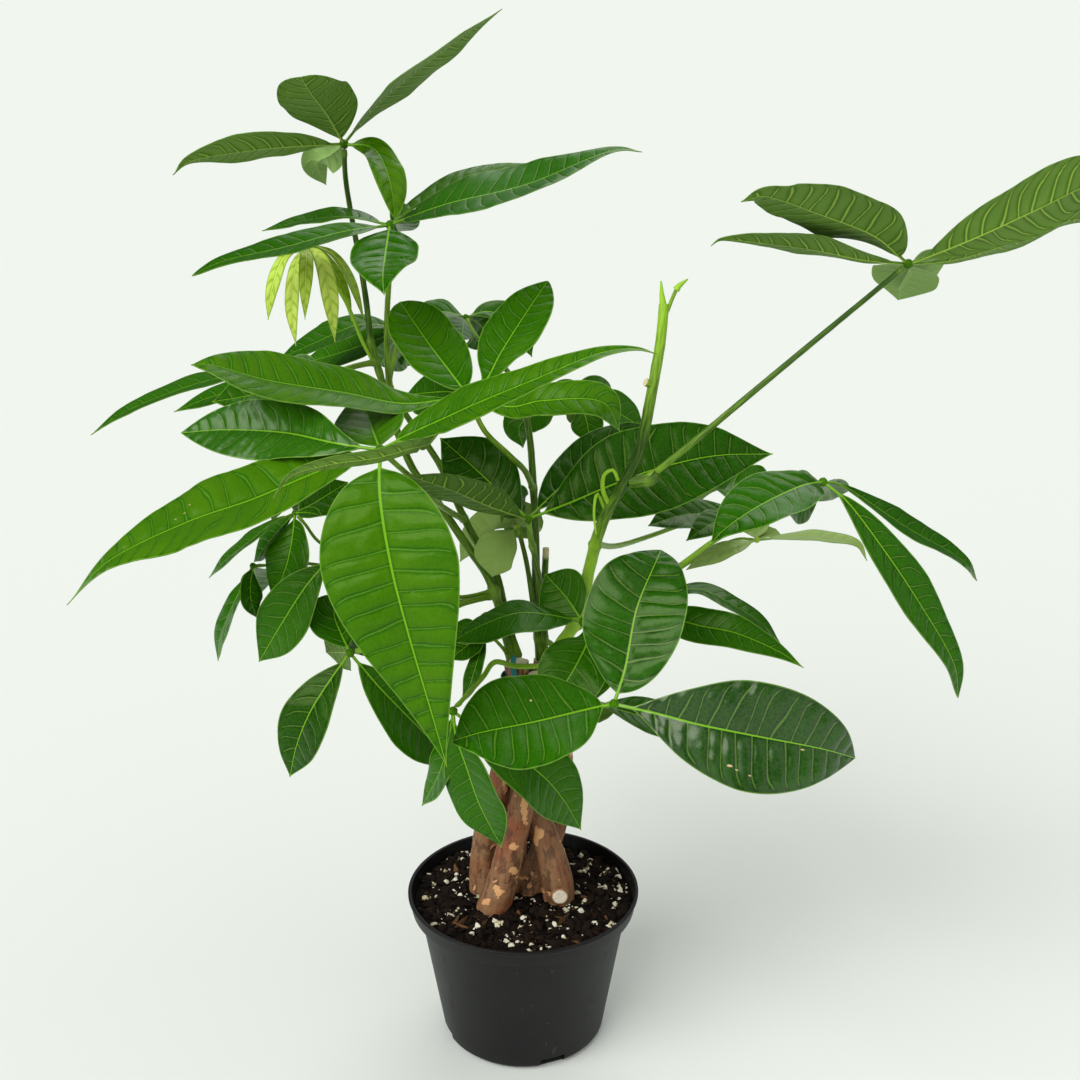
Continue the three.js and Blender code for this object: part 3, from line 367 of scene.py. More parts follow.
LEAVES: tuple[Leaf, ...] = (
    Leaf("leaf_top_left", "shoot_left", (344, 144, 4), ((371, 345, -23), (366, 300, -28), (360, 262, -30),
         (350, 208, -20), (345, 172, 0)), (
        Blade(((328, 116, 29), (310, 92, 62), (301, 77, 77)), 40.9, turn=156, fat=0.49, slim=2.14,
              foot=0.89, tip=0.6, fresh=0.45, quilt=1.2),
        Blade(((374, 107, 14), (428, 61, 26), (502, 9, 30)), 40.5, turn=-105, fold=-11, fat=0.48,
              slim=1.05, foot=0.78, tip=1.35, fresh=0.55, quilt=0.25),
        Blade(((309, 145, 14), (250, 150, 24), (188, 162, 28), (173, 175, 24)), 32.9, turn=118, fat=0.51,
              slim=1.03, foot=0.87, tip=1.46, fresh=0.6, quilt=1.2),
        Blade(((330, 155, -20), (317, 164, -40), (326, 185, -58)), 22, turn=170, fresh=1.4),
        Blade(((372, 148, 12), (386, 170, 28), (392, 193, 38), (395, 219, 43)), 21.9, turn=-35, fat=0.56,
              slim=1.5, foot=0.66, tip=0.9, fresh=1.0),
    ), stalk=0.15),
    Leaf("leaf_high_left", "shoot_left", (390, 225, 18), ((389, 388, -32), (387, 350, -26), (387, 318, -20),
         (389, 280, -8), (391, 250, 6)), (
        Blade(((445, 205, 34), (526, 185, 47), (617, 150, 52), (642, 152, 50)), 58.5, turn=-70, fat=0.46,
              slim=0.77, foot=0.64, tip=1.22, fresh=0.42, quilt=0.3),
        Blade(((418, 204, 2), (462, 181, -8), (530, 163, -12)), 30, turn=-72, fresh=0.75),
        Blade(((344, 232, 34), (283, 248, 47), (222, 262, 52), (192, 276, 51)), 29.5, turn=67, fat=0.44,
              slim=0.7, foot=0.73, tip=0.64, fresh=0.45, quilt=0.5),
        Blade(((350, 217, 4), (305, 221, -8), (262, 231, -12)), 28, turn=74),
        Blade(((385, 257, 50), (383, 278, 80), (384, 295, 94)), 39.9, turn=14, fat=0.4, slim=1.21,
              foot=0.67, tip=1.28, quilt=1.3),
        Blade(((396, 224, -20), (398, 232, -64)), 30),
    )),
    Leaf("leaf_new_left", "shoot_left", (306, 243, -8), ((379, 372, -22), (362, 340, -22), (352, 315, -22),
         (340, 292, -14), (325, 274, -6)), (
        Blade(((284, 258, 2), (272, 290, 8), (268, 320, 10)), 9, turn=30, fresh=0.8),
        Blade(((295, 270, 14), (292, 310, 20), (296, 346, 20)), 9, turn=20, fresh=0.95),
        Blade(((306, 262, 26), (305, 292, 34), (305, 320, 34)), 9, turn=-20, fresh=0.8),
        Blade(((322, 262, 16), (330, 300, 26), (335, 342, 26)), 12, turn=-30, fresh=1.0),
        Blade(((325, 258, -30), (344, 290, -46), (352, 322, -50)), 9, turn=-40),
        Blade(((332, 254, -24), (352, 284, -44), (364, 320, -56)), 9, turn=-50),
    ), small=True, young=True, stalk=1.0),
    Leaf("leaf_front_left", "shoot_left", (380, 450, 128), ((464, 520, -27), (440, 505, 20), (416, 482, 78),
         (398, 466, 108)), (
        Blade(((380, 495, 143), (391, 565, 152), (408, 632, 153), (432, 714, 150), (447, 767, 146)), 76.1,
              turn=16, fat=0.34, slim=0.72, foot=0.53, tip=1.18, fresh=0.72, quilt=1.7, wax=0.1),
        Blade(((316, 473, 128), (252, 500, 133), (191, 521, 132), (108, 562, 120), (67, 605, 102)), 57.4,
              turn=55, fat=0.45, slim=0.7, foot=0.5, tip=1.78, fresh=0.75, quilt=1.4),
        Blade(((338, 444, 125), (285, 433, 102), (224, 430, 85), (181, 433, 74)), 38.8, turn=27, fat=0.52,
              slim=1.33, foot=0.96, tip=0.97, fresh=0.5, quilt=1.4, wax=0.6),
        Blade(((374, 434, 100), (366, 412, 72), (358, 392, 52)), 40, turn=5, fat=0.5, fresh=0.75),
        Blade(((413, 433, 125), (446, 418, 129), (472, 406, 138), (537, 379, 146), (602, 353, 141),
              (636, 349, 136), (657, 354, 130)), 29.6, turn=-53, fold=13, fat=0.32, slim=0.82, foot=0.5,
              tip=1.16, fresh=0.7, quilt=1.4),
    )),
    Leaf("leaf_inner", "shoot_centre", (468, 396, 66), ((533, 488, -9), (525, 471, 12), (509, 455, 36),
         (484, 430, 56)), (
        Blade(((406, 404, 75), (344, 393, 88), (265, 380, 98), (210, 365, 101), (191, 365, 99)), 44.6,
              turn=55, fold=13, fat=0.64, slim=1.61, foot=0.95, tip=1.23, fresh=0.75, quilt=1.3),
        Blade(((447, 368, 48), (428, 343, 30), (400, 302, 13)), 39.9, turn=25, fat=0.57, slim=1.7,
              foot=0.5, tip=0.6, fresh=0.66, quilt=1.2),
        Blade(((485, 382, 62), (501, 353, 44), (525, 315, 26), (548, 281, 9)), 37.2, turn=-33, fat=0.55,
              slim=1.34, foot=1.25, tip=0.78, fresh=0.62, quilt=1.2),
        Blade(((509, 407, 71), (543, 401, 85), (603, 403, 90), (620, 432, 84)), 25.1, turn=-39, fat=0.72,
              slim=1.07, foot=0.5, tip=1.34, fresh=0.75, quilt=1.3),
        Blade(((431, 440, 84), (423, 445, 117), (415, 447, 143), (410, 448, 158), (378, 457, 170),
              (330, 464, 174), (291, 476, 166), (273, 498, 161)), 12.2, turn=125, fat=0.6, slim=1.35,
              foot=0.73, tip=1.04),
        Blade(((447, 392, 40), (406, 395, 4)), 34, turn=30),
    )),
    Leaf("leaf_centre", "shoot_centre", (528, 519, 30), ((533, 549, 15), (531, 541, 18), (530, 532, 22)), (
        Blade(((505, 497, 24), (472, 466, 10), (440, 438, 2)), 46, turn=15, fresh=0.12, quilt=1.2),
        Blade(((490, 506, 56), (450, 489, 86), (408, 475, 104)), 38, turn=122, fresh=0.2, quilt=1.2),
        Blade(((570, 503, 27), (610, 486, 22), (660, 468, 14), (715, 456, 6), (773, 454, -2)), 64,
              turn=-28, fat=0.45, fresh=0.2, quilt=1.4),
        Blade(((570, 480, 4), (630, 447, -20), (686, 448, -32)), 46, turn=-40, fresh=0.1),
        Blade(((514, 506, -14), (509, 495, -50), (506, 490, -84)), 26),
    )),
    Leaf("leaf_hanging_centre", "shoot_centre", (517, 527, -8), ((520, 536, -3), (519, 531, -5)), (
        Blade(((504, 541, -2), (494, 558, 0), (492, 577, -2)), 34, turn=35, fresh=1.6),
        Blade(((496, 524, -50), (472, 540, -64), (460, 562, -68)), 34, turn=40, fresh=1.6),
        Blade(((522, 520, -40), (518, 530, -70)), 30, fresh=1.6),
    ), small=True, young=True),
    Leaf("leaf_front", "shoot_right", (614, 704, 118), ((562, 662, 4), (572, 680, 36), (592, 700, 78),
         (604, 705, 100)), (
        Blade(((625, 669, 111), (637, 608, 97), (655, 564, 80), (661, 550, 67)), 59.6, turn=-10, fat=0.5,
              slim=1.33, foot=0.61, tip=0.91, fresh=0.28, quilt=1.7, wax=0.3),
        Blade(((655, 713, 125), (697, 724, 133), (746, 734, 137), (823, 749, 136), (855, 758, 126)), 63.5,
              turn=11, fat=0.55, slim=1.16, foot=1.1, tip=0.91, fresh=0.02, quilt=1.8, wax=1.0),
        Blade(((590, 709, 118), (535, 722, 128), (480, 733, 136), (456, 740, 139), (452, 741, 137)), 64.8,
              turn=35, fat=0.52, slim=1.71, foot=0.63, tip=1.33, fresh=0.5, quilt=1.4, wax=0.1),
    )),
    Leaf("leaf_low_centre", "shoot_right", (583, 622, 52), ((584, 594, 20), (592, 604, 34),
         (588, 614, 44)), (
        Blade(((549, 615, 62), (519, 613, 68), (483, 625, 70), (450, 643, 68)), 38, turn=58, fold=-10),
        Blade(((566, 597, 42), (545, 574, 30)), 34, turn=-8),
        Blade(((588, 638, 64), (578, 662, 78), (560, 692, 88), (545, 716, 92)), 42, turn=10),
    )),
    Leaf("leaf_low_small", "shoot_left", (487, 633, 18), ((508, 655, -8), (501, 646, 4), (494, 639, 12)), (
        Blade(((470, 632, 26), (450, 641, 30)), 22, turn=40),
        Blade(((470, 644, 28), (449, 660, 34)), 20, turn=30),
        Blade(((478, 660, 32), (470, 685, 34), (462, 703, 32)), 14, turn=40),
        Blade(((491, 622, 32), (500, 613, 40)), 16),
        Blade(((477, 640, 2), (465, 654, -14)), 18, turn=10),
    ), small=True),
    Leaf("leaf_low_left", "shoot_right", (453, 711, 76), ((560, 664, 4), (540, 666, 26), (515, 666, 30),
         (495, 662, 32), (483, 677, 44), (465, 697, 64)), (
        Blade(((456, 735, 84), (466, 765, 86), (480, 805, 82), (502, 847, 72)), 38, turn=40),
        Blade(((492, 742, 82), (538, 772, 76), (562, 798, 68), (581, 830, 58)), 42, turn=-20),
        Blade(((449, 740, 71), (440, 772, 71), (422, 806, 63)), 24, turn=50),
    )),
    Leaf("leaf_right", "shoot_right", (823, 482, 48), ((576, 628, 12), (620, 600, 30), (650, 584, 38),
         (681, 565, 42), (711, 543, 45), (770, 506, 46)), (
        Blade(((802, 486, 65), (756, 508, 83), (723, 531, 94), (710, 545, 97)), 44.6, turn=44, fat=0.49,
              slim=1.2, foot=0.67, tip=1.22, fresh=0.4, quilt=1.3),
        Blade(((845, 500, 57), (885, 552, 66), (919, 603, 68), (954, 665, 65), (958, 698, 57)), 30.4,
              turn=-39, fat=0.49, slim=0.7, foot=0.82, tip=0.79, fresh=0.45, quilt=1.3),
        Blade(((838, 484, 44), (907, 528, 38), (965, 563, 32), (977, 581, 27)), 34.6, turn=-70, fat=0.56,
              slim=0.9, foot=1.11, tip=0.9, fresh=0.4),
        Blade(((828, 488, 16), (832, 500, -30)), 26),
        Blade(((808, 494, 14), (786, 510, -26)), 34, turn=30),
    )),
    Leaf("leaf_top_right", "shoot_right", (908, 264, 62), ((648, 478, 65), (680, 453, 63), (740, 403, 62),
         (794, 358, 61), (874, 292, 61)), (
        Blade(((877, 237, 72), (815, 212, 87), (778, 199, 96), (760, 196, 101), (741, 202, 101)), 56.6,
              turn=119, fat=0.43, slim=1.48, foot=0.69, tip=1.25, fresh=0.4, quilt=1.2),
        Blade(((862, 259, 59), (818, 250, 55), (767, 243, 52), (720, 240, 49), (711, 246, 47)), 35.5,
              turn=108, slim=0.82, foot=0.86, tip=1.15),
        Blade(((945, 250, 72), (981, 235, 80), (1035, 210, 86), (1090, 184, 86), (1150, 168, 80)), 46,
              turn=-132, fresh=0.45, quilt=1.2),
        Blade(((950, 260, 60), (1010, 243, 56), (1075, 219, 52), (1146, 222, 46)), 40, turn=-108),
        Blade(((905, 276, 36), (898, 300, 6)), 40, turn=180, fresh=1.4),
        Blade(((919, 271, 36), (931, 286, 4)), 32, turn=180, fresh=1.4),
    ), stalk=0.1),
    Leaf("leaf_pale_right", "shoot_right", (757, 540, -58), ((577, 622, 14), (610, 612, 0), (681, 568, -52),
         (711, 550, -66), (738, 539, -70)), (
        Blade(((735, 547, -46), (710, 558, -34), (686, 570, -28)), 22, turn=55, fresh=1.6),
        Blade(((790, 537, -58), (830, 538, -60), (858, 545, -62), (867, 561, -64)), 18, turn=-64,
              fresh=1.6),
        Blade(((764, 534, -78), (776, 529, -100)), 22, turn=-40, fresh=1.6),
        Blade(((752, 528, -82), (742, 520, -112)), 28, turn=20, fresh=1.6),
    ), small=True, young=True),
    Leaf("leaf_back_right", "shoot_right", (737, 506, -84), ((596, 544, 43), (616, 546, -14),
         (650, 536, -76), (700, 518, -102)), (
        Blade(((708, 513, -68), (680, 516, -58), (648, 526, -52)), 38, turn=48),
        Blade(((722, 518, -58), (702, 530, -42), (686, 541, -36)), 24, turn=35),
        Blade(((760, 490, -120), (775, 500, -160)), 44, turn=-60),
        Blade(((722, 490, -124), (702, 494, -166)), 42, turn=60),
    )),
    Leaf("leaf_lower_right", "shoot_right", (656, 602, 8),
         ((580, 610, 16), (615, 606, 13), (640, 603, 10)), (
        Blade(((676, 593, 8), (700, 590, 9), (734, 606, 16), (763, 625, 19), (780, 643, 19)), 26.3,
              turn=-68, fat=0.57, slim=1.26, foot=0.5, tip=1.06),
        Blade(((672, 616, 15), (696, 625, 26), (735, 633, 36), (779, 652, 41), (804, 668, 43)), 26.6,
              turn=-26, fat=0.31, slim=1.2, foot=0.5, tip=1.24),
        Blade(((666, 606, -22), (664, 624, -56), (660, 645, -80)), 34),
    )),
    Leaf("leaf_small_left", "shoot_left", (295, 513, 18), ((492, 591, -12), (462, 597, -4), (420, 590, 8),
         (345, 556, 18), (318, 541, 20), (305, 524, 20)), (
        Blade(((275, 522, 26), (250, 541, 32), (225, 561, 34), (209, 578, 32)), 28, turn=76),
        Blade(((275, 535, 14), (254, 562, 10)), 28, turn=62),
        Blade(((293, 535, 30), (287, 565, 36), (273, 600, 34)), 36, turn=40),
        Blade(((316, 502, 0), (348, 482, -20)), 28, turn=-20),
        Blade(((308, 513, 28), (322, 516, 36)), 10, turn=-40),
        Blade(((292, 506, -10), (280, 510, -44)), 30, turn=60),
    ), small=True),
    Leaf("leaf_left", "shoot_left", (253, 566, 30), ((492, 591, -12), (462, 597, -4), (420, 593, 6),
         (345, 570, 12), (300, 563, 14), (272, 565, 20)), (
        Blade(((243, 585, 38), (229, 615, 42), (220, 640, 42), (218, 661, 40)), 22, turn=66),
        Blade(((250, 585, 42), (251, 602, 46), (257, 618, 46)), 18, turn=-40),
        Blade(((256, 576, 4), (262, 592, -18)), 22),
    ), small=True),
    Leaf("leaf_left_behind", "shoot_left", (332, 556, 52), ((492, 594, -12), (462, 601, 0), (420, 598, 26),
         (358, 563, 46)), (
        Blade(((307, 585, 54), (281, 625, 52), (259, 662, 44)), 36, turn=24),
        Blade(((348, 582, 60), (366, 602, 66), (378, 622, 66)), 30, turn=-20),
        Blade(((345, 545, 78), (364, 540, 100), (382, 546, 112)), 32),
    ), small=True),
    Leaf("leaf_hanging_left", "shoot_left", (350, 653, 62), ((492, 596, -12), (462, 604, 6), (424, 624, 36),
         (382, 644, 56)), (
        Blade(((334, 675, 68), (311, 711, 74), (297, 745, 72), (290, 777, 66)), 35, turn=30, fresh=0.1),
        Blade(((376, 684, 64), (405, 714, 56), (434, 743, 46), (460, 766, 38)), 42, turn=-26),
        Blade(((341, 634, 56), (334, 614, 46), (338, 592, 34)), 34, turn=10),
        Blade(((340, 652, 42), (326, 652, 16)), 30, turn=150),
        Blade(((365, 650, 30), (385, 660, -4)), 36, turn=-40),
    )),
    Leaf("leaf_back_left", "shoot_left", (403, 328, -66),
         ((388, 386, -33), (392, 366, -42), (398, 345, -55)), (
        Blade(((360, 325, -60), (320, 341, -52), (278, 360, -46)), 38, turn=66),
        Blade(((372, 342, -78), (330, 356, -88), (300, 364, -94)), 36, turn=55),
        Blade(((394, 342, -96), (380, 366, -126)), 38, turn=20),
        Blade(((412, 338, -96), (424, 362, -126)), 38, turn=-20),
        Blade(((424, 330, -62), (448, 352, -60)), 34, turn=-40),
    )),
    Leaf("leaf_far_left", "shoot_left", (318, 376, 14), ((376, 362, -22), (356, 366, -10), (336, 372, 4)), (
        Blade(((262, 372, 24), (212, 380, 30), (160, 397, 32), (120, 415, 30), (91, 435, 28)), 30,
              turn=74),
        Blade(((262, 386, -4), (215, 396, -12), (174, 412, -14)), 28, turn=62),
        Blade(((280, 388, 40), (243, 397, 54), (212, 402, 60)), 36, turn=40),
        Blade(((310, 376, -28), (296, 384, -68)), 32),
    )),
    Leaf("leaf_back_top", "shoot_centre", (466, 317, -92), ((500, 361, -47), (484, 346, -64),
         (474, 332, -78)), (
        Blade(((442, 312, -90), (412, 318, -88)), 32, turn=62),
        Blade(((490, 312, -98), (516, 326, -100), (532, 357, -98)), 34, turn=-55),
        Blade(((480, 325, -112), (492, 350, -132)), 34, turn=-10),
        Blade(((464, 322, -126), (462, 340, -160)), 34, turn=10),
    ), small=True),
    Leaf("leaf_back_centre", "shoot_centre", (578, 402, -96), ((526, 416, -14), (540, 410, -44),
         (558, 404, -76)), (
        Blade(((586, 418, -88), (590, 443, -84)), 24, turn=10),
        Blade(((608, 408, -104), (645, 430, -108)), 36, turn=-45),
        Blade(((548, 405, -100), (520, 426, -98), (523, 448, -96)), 38, turn=40),
        Blade(((572, 402, -132), (564, 414, -172)), 40, turn=10),
        Blade(((592, 400, -132), (608, 412, -168)), 38, turn=-20),
    )),
    Leaf("leaf_back_low", "shoot_centre", (592, 702, -66), ((541, 638, -12), (553, 646, -32),
         (568, 674, -54)), (
        Blade(((560, 704, -72), (520, 712, -84), (490, 722, -90)), 44, turn=50),
        Blade(((604, 670, -78), (618, 630, -92), (628, 602, -98)), 42, turn=-10),
        Blade(((640, 716, -76), (690, 728, -86), (725, 738, -88)), 44, turn=-50),
        Blade(((590, 696, -104), (588, 706, -146)), 46),
    )),
)

FLECKS = (
    Fleck("leaf_front", 1, 0.47, 0.62, 3.2, 1.6), Fleck("leaf_front", 1, 0.5, 0.66, 3.6, 0.9),
    Fleck("leaf_front", 1, 0.55, 0.7, 2.4, 0.8), Fleck("leaf_front", 1, 0.74, 0.1, 2.6, 0.9),
    Fleck("leaf_front", 2, 0.47, 0.42, 1.8, 1.5), Fleck("leaf_front_left", 1, 0.52, 0.3, 4.0, 0.6),
    Fleck("leaf_front_left", 1, 0.5, 0.42, 2.6, 0.5), Fleck("leaf_front_left", 1, 0.55, 0.2, 1.4, 0.6),
)


# Finishes


class Value:
    """A number that varies. Arithmetic on it adds Math nodes."""

    def __init__(self, tree: Tree, socket: bpy.types.NodeSocket) -> None:
        """Keeps the tree that the socket belongs to."""
        self.tree = tree
        self.socket = socket

    def __add__(self, other: Number) -> Value:
        """Returns the sum."""
        return self.tree.maths("ADD", self, other)

    def __radd__(self, other: Number) -> Value:
        """Returns the sum."""
        return self.tree.maths("ADD", other, self)

    def __sub__(self, other: Number) -> Value:
        """Returns the difference."""
        return self.tree.maths("SUBTRACT", self, other)

    def __rsub__(self, other: Number) -> Value:
        """Returns the difference."""
        return self.tree.maths("SUBTRACT", other, self)

    def __mul__(self, other: Number) -> Value:
        """Returns the product."""
        return self.tree.maths("MULTIPLY", self, other)

    def __rmul__(self, other: Number) -> Value:
        """Returns the product."""
        return self.tree.maths("MULTIPLY", other, self)


Number = float | Value
Feed = float | int | Colour | Spot | Value | bpy.types.NodeSocket


class Tree:
    """A tree of nodes."""

    def __init__(self, tree: bpy.types.NodeTree) -> None:
        """Empties the tree that nodes are added to."""
        self.tree = tree
        self.tree.nodes.clear()

    def feed(self, socket: bpy.types.NodeSocket, feed: Feed) -> None:
        """Gives a socket its value or its link.

        Args:
            socket: The socket.
            feed: A value, or what is linked to the socket.
        """
        source = feed.socket if isinstance(feed, Value) else feed
        if isinstance(source, bpy.types.NodeSocket):
            self.tree.links.new(source, socket)
        else:
            socket.default_value = source

    def node(
        self,
        kind: str,
        settings: dict[str, object] | None = None,
        inputs: dict[str | int, Feed] | None = None,
    ) -> bpy.types.Node:
        """Adds one node.

        Args:
            kind: The node's type.
            settings: Its own settings, set first.
            inputs: Values or links for its sockets, by name or number.

        Returns:
            The node.
        """
        made = self.tree.nodes.new(kind)
        for key, setting in (settings or {}).items():
            setattr(made, key, setting)
        for key, feed in (inputs or {}).items():
            self.feed(made.inputs[key], feed)
        return made

    def maths(self, operation: str, *terms: Number) -> Value:
        """Adds one Math node with its numbers in order, and returns its result."""
        made = self.node("ShaderNodeMath", {"operation": operation}, dict(enumerate(terms)))
        return Value(self, made.outputs[0])


class Shader(Tree):
    """The node tree of one finish."""

    def __init__(self, name: str, **uniform: float | Colour) -> None:
        """Starts a finish.

        Args:
            name: The finish's name.
            uniform: Values that are the same all over, by their socket's name, with _ for spaces.
        """
        self.material = bpy.data.materials.new(name)
        self.material.use_nodes = True
        super().__init__(self.material.node_tree)
        self.surface = self.node("ShaderNodeBsdfPrincipled")
        for socket, value in uniform.items():
            self.surface.inputs[socket.replace("_", " ")].default_value = value
        self.node("ShaderNodeOutputMaterial", inputs={"Surface": self.surface.outputs[0]})
        self.coordinates = self.node("ShaderNodeTexCoord").outputs["Object"]

    def traits(self, name: Trait) -> tuple[Value, Value, Value]:
        """Reads one attribute of the mesh.

        Args:
            name: The attribute's name.

        Returns:
            Its three numbers.
        """
        read = self.node("ShaderNodeAttribute", {"attribute_name": name.value})
        parts = self.node("ShaderNodeSeparateXYZ", inputs={0: read.outputs["Vector"]})
        first, second, third = (Value(self, socket) for socket in parts.outputs)
        return first, second, third

    def cloud(
        self, scale: float, detail: float = 3, stretch: Spot = (1, 1, 1), rough: float = 0.5
    ) -> Value:
        """Returns noise of 0 to 1 on the piece's own coordinates, scale lumps in a metre."""
        turned = self.node("ShaderNodeMapping", inputs={"Vector": self.coordinates, "Scale": stretch})
        return self._noise(turned, scale, detail, rough)

    def _noise(self, place: bpy.types.Node, scale: float, detail: float, rough: float = 0.5) -> Value:
        """Returns noise of 0 to 1 on what a node gives."""
        inputs = {"Vector": place.outputs[0], "Scale": scale, "Detail": detail, "Roughness": rough}
        return Value(self, self.node("ShaderNodeTexNoise", inputs=inputs).outputs[0])

    def streaks(self, across: Feed, along: Feed, scale: float, detail: float = 3) -> Value:
        """Returns noise on two numbers of the surface, as long marks that follow it."""
        return self._noise(self.node("ShaderNodeCombineXYZ", inputs={0: across, 1: along}), scale, detail)

    def cells(self, scale: float) -> Value:
        """Adds a cell pattern on the piece's own coordinates.

        Args:
            scale: Cells in a metre.

        Returns:
            The distance to the nearest edge of a cell.
        """
        inputs = {"Vector": self.coordinates, "Scale": scale}
        made = self.node("ShaderNodeTexVoronoi", {"feature": "DISTANCE_TO_EDGE"}, inputs)
        return Value(self, made.outputs["Distance"])

    def step(self, value: Number, low: float, high: float) -> Value:
        """Turns a number into an even step.

        Args:
            value: The number.
            low: Where the step starts.
            high: Where it ends.

        Returns:
            0 below low, 1 above high, and an even curve between them.
        """
        settings = {"interpolation_type": "SMOOTHSTEP"}
        inputs = {"Value": value, "From Min": low, "From Max": high}
        return Value(self, self.node("ShaderNodeMapRange", settings, inputs).outputs[0])

    def mix(self, share: Number, start: Feed, end: Feed) -> bpy.types.NodeSocket:
        """Returns the mix of two colours, which is start for 0 and end for 1."""
        made = self.node("ShaderNodeMix", {"data_type": "RGBA"}, {0: share, 6: start, 7: end})
        return made.outputs[2]

    def shaded(self, share: Number, colour: Feed) -> bpy.types.NodeSocket:
        """Multiplies a colour by a number.

        Args:
            share: The number.
            colour: The colour.

        Returns:
            The lighter or darker colour.
        """
        plain = colour[:3] if isinstance(colour, tuple) else colour
        made = self.node("ShaderNodeVectorMath", {"operation": "SCALE"}, {0: plain, "Scale": share})
        return made.outputs[0]

    def dress(
        self, colour: Feed, rough: Feed, relief: Value | None = None, height: float = 0, coat: Feed = 0
    ) -> None:
        """Feeds the surface.

        Args:
            colour: Its base colour.
            rough: Its roughness.
            relief: The height of its fine grain, of 0 to 1.
            height: How tall that grain is, in mm.
            coat: How much clear wax lies on it.
        """
        feeds = {"Base Color": colour, "Roughness": rough, "Coat Weight": coat}
        if relief is not None:
            bump = self.node("ShaderNodeBump", inputs={"Height": relief, "Distance": height * MM})
            feeds["Normal"] = bump.outputs[0]
        for name, feed in feeds.items():
            self.feed(self.surface.inputs[name], feed)


class Trait(Enum):
    """The two attributes that finishes read from a mesh."""

    COURSE = "course"
    KIND = "kind"


@dataclass(frozen=True)
class LeafFinish:
    """A glossy leaf: quilted green between pale veins, and matt below, with painted shade along its veins
    and rib.

    course holds the vein count, the distance from the rib in rib widths and the distance from
    the margin in mm. kind holds the side, how bright the green is, and the space between two
    veins in mm. The side is 1 below, and above it is how much wax there is, as 0 to -1.
    """

    name: str = "leaf"
    deep: Colour = ink(8, 44, 1)
    middle: Colour = ink(34, 90, 1)
    bright: Colour = ink(78, 124, 4)
    rib: Colour = ink(112, 168, 26)
    vein: Colour = ink(104, 156, 44)
    under: Colour = ink(106, 142, 58)
    under_deep: Colour = ink(56, 90, 28)
    under_rib: Colour = ink(150, 182, 70)
    pale: Colour = ink(142, 174, 104)
    margin: Colour = ink(116, 158, 56)
    sheen: Colour = (0.6, 0.85, 0.15, 1.0)
    gloss: float = 0.36
    under_gloss: float = 0.62
    shine: float = 0.2
    wax_rough: float = 0.26
    wax_bend: float = 1.45
    net_cells: float = 300
    relief: float = 0.2

    def build(self) -> bpy.types.Material:
        """Builds the finish.

        Returns:
            Its material.
        """
        shader = Shader(
            self.name, Specular_IOR_Level=self.shine, Specular_Tint=self.sheen,
            Coat_Roughness=self.wax_rough, Coat_IOR=self.wax_bend,
        )
        count, rib_gap, margin_gap = shader.traits(Trait.COURSE)
        side, fresh, space = shader.traits(Trait.KIND)
        below = shader.maths("MAXIMUM", side, 0)
        patches = shader.cloud(26, 3)
        grain = shader.cloud(900, 2)
        off_vein = shader.maths("PINGPONG", count, 0.5) * space
        inside = shader.step(margin_gap, 0.8, 4.5)
        on_rib = 1 - shader.step(rib_gap, 0.55, 1.05)
        on_vein = (1 - shader.step(off_vein, 0.12, 0.66)) * inside
        painted_vein_shading = shader.step(off_vein, 0.3, 2.0)
        on_margin = 1 - shader.step(margin_gap, 0.25, 0.95)
        net = shader.cells(self.net_cells)
        on_net = (1 - shader.step(net, 0.02, 0.14)) * inside
        painted_rib_shade = 1 - shader.step(rib_gap, 1.0, 4.0)
        tone = fresh + (patches - 0.5) * 0.5 + (grain - 0.5) * 0.06
        # Painted shade: darker in the creases along the veins and beside the rib, with a little painted
        # light on the swells between the veins.
        tone = tone + (painted_vein_shading - 0.7) * 0.34 - painted_rib_shade * 0.2
        top = shader.mix(shader.step(tone, -0.15, 0.65), self.deep, self.middle)
        top = shader.mix(shader.step(tone, 0.5, 1.25), top, self.bright)
        top = shader.mix(on_net * 0.06 + on_vein * 0.42, top, self.vein)
        top = shader.mix(on_margin * 0.6, top, self.margin)
        top = shader.mix(on_rib * 0.9, top, self.rib)
        lower = shader.mix(shader.step(tone, -0.1, 0.9), self.under_deep, self.under)
        # Painted shade in the hollows beside the veins on the underside.
        painted_hollow_shade = (1 - shader.step(off_vein, 0.8, 3.2)) * inside
        lower = shader.mix(painted_hollow_shade * 0.55, lower, self.under_deep)
        raised = (1 - shader.step(off_vein, 0.2, 0.9)) * inside
        lower = shader.mix(raised * 0.75, lower, self.under_rib)
        lower = shader.mix(on_rib * 0.85, lower, self.under_rib)
        colour = shader.mix(below, top, lower)
        colour = shader.mix(shader.step(fresh, 1.1, 1.5) * 0.75, colour, self.pale)
        polish = self.gloss - (1 - fresh) * 0.08 + (patches - 0.5) * 0.2 + on_rib * 0.1
        rough = (1 - below) * polish + below * self.under_gloss
        groove = shader.step(off_vein, 0.0, 1.5) * inside * (1 - below * 2)
        skin = shader.step(net, 0.0, 0.3) * 0.12 * (1 - below)
        wax = shader.maths("MAXIMUM", 0 - side, 0)
        shader.dress(colour, rough, skin + groove * 0.6, self.relief, wax)
        return shader.material


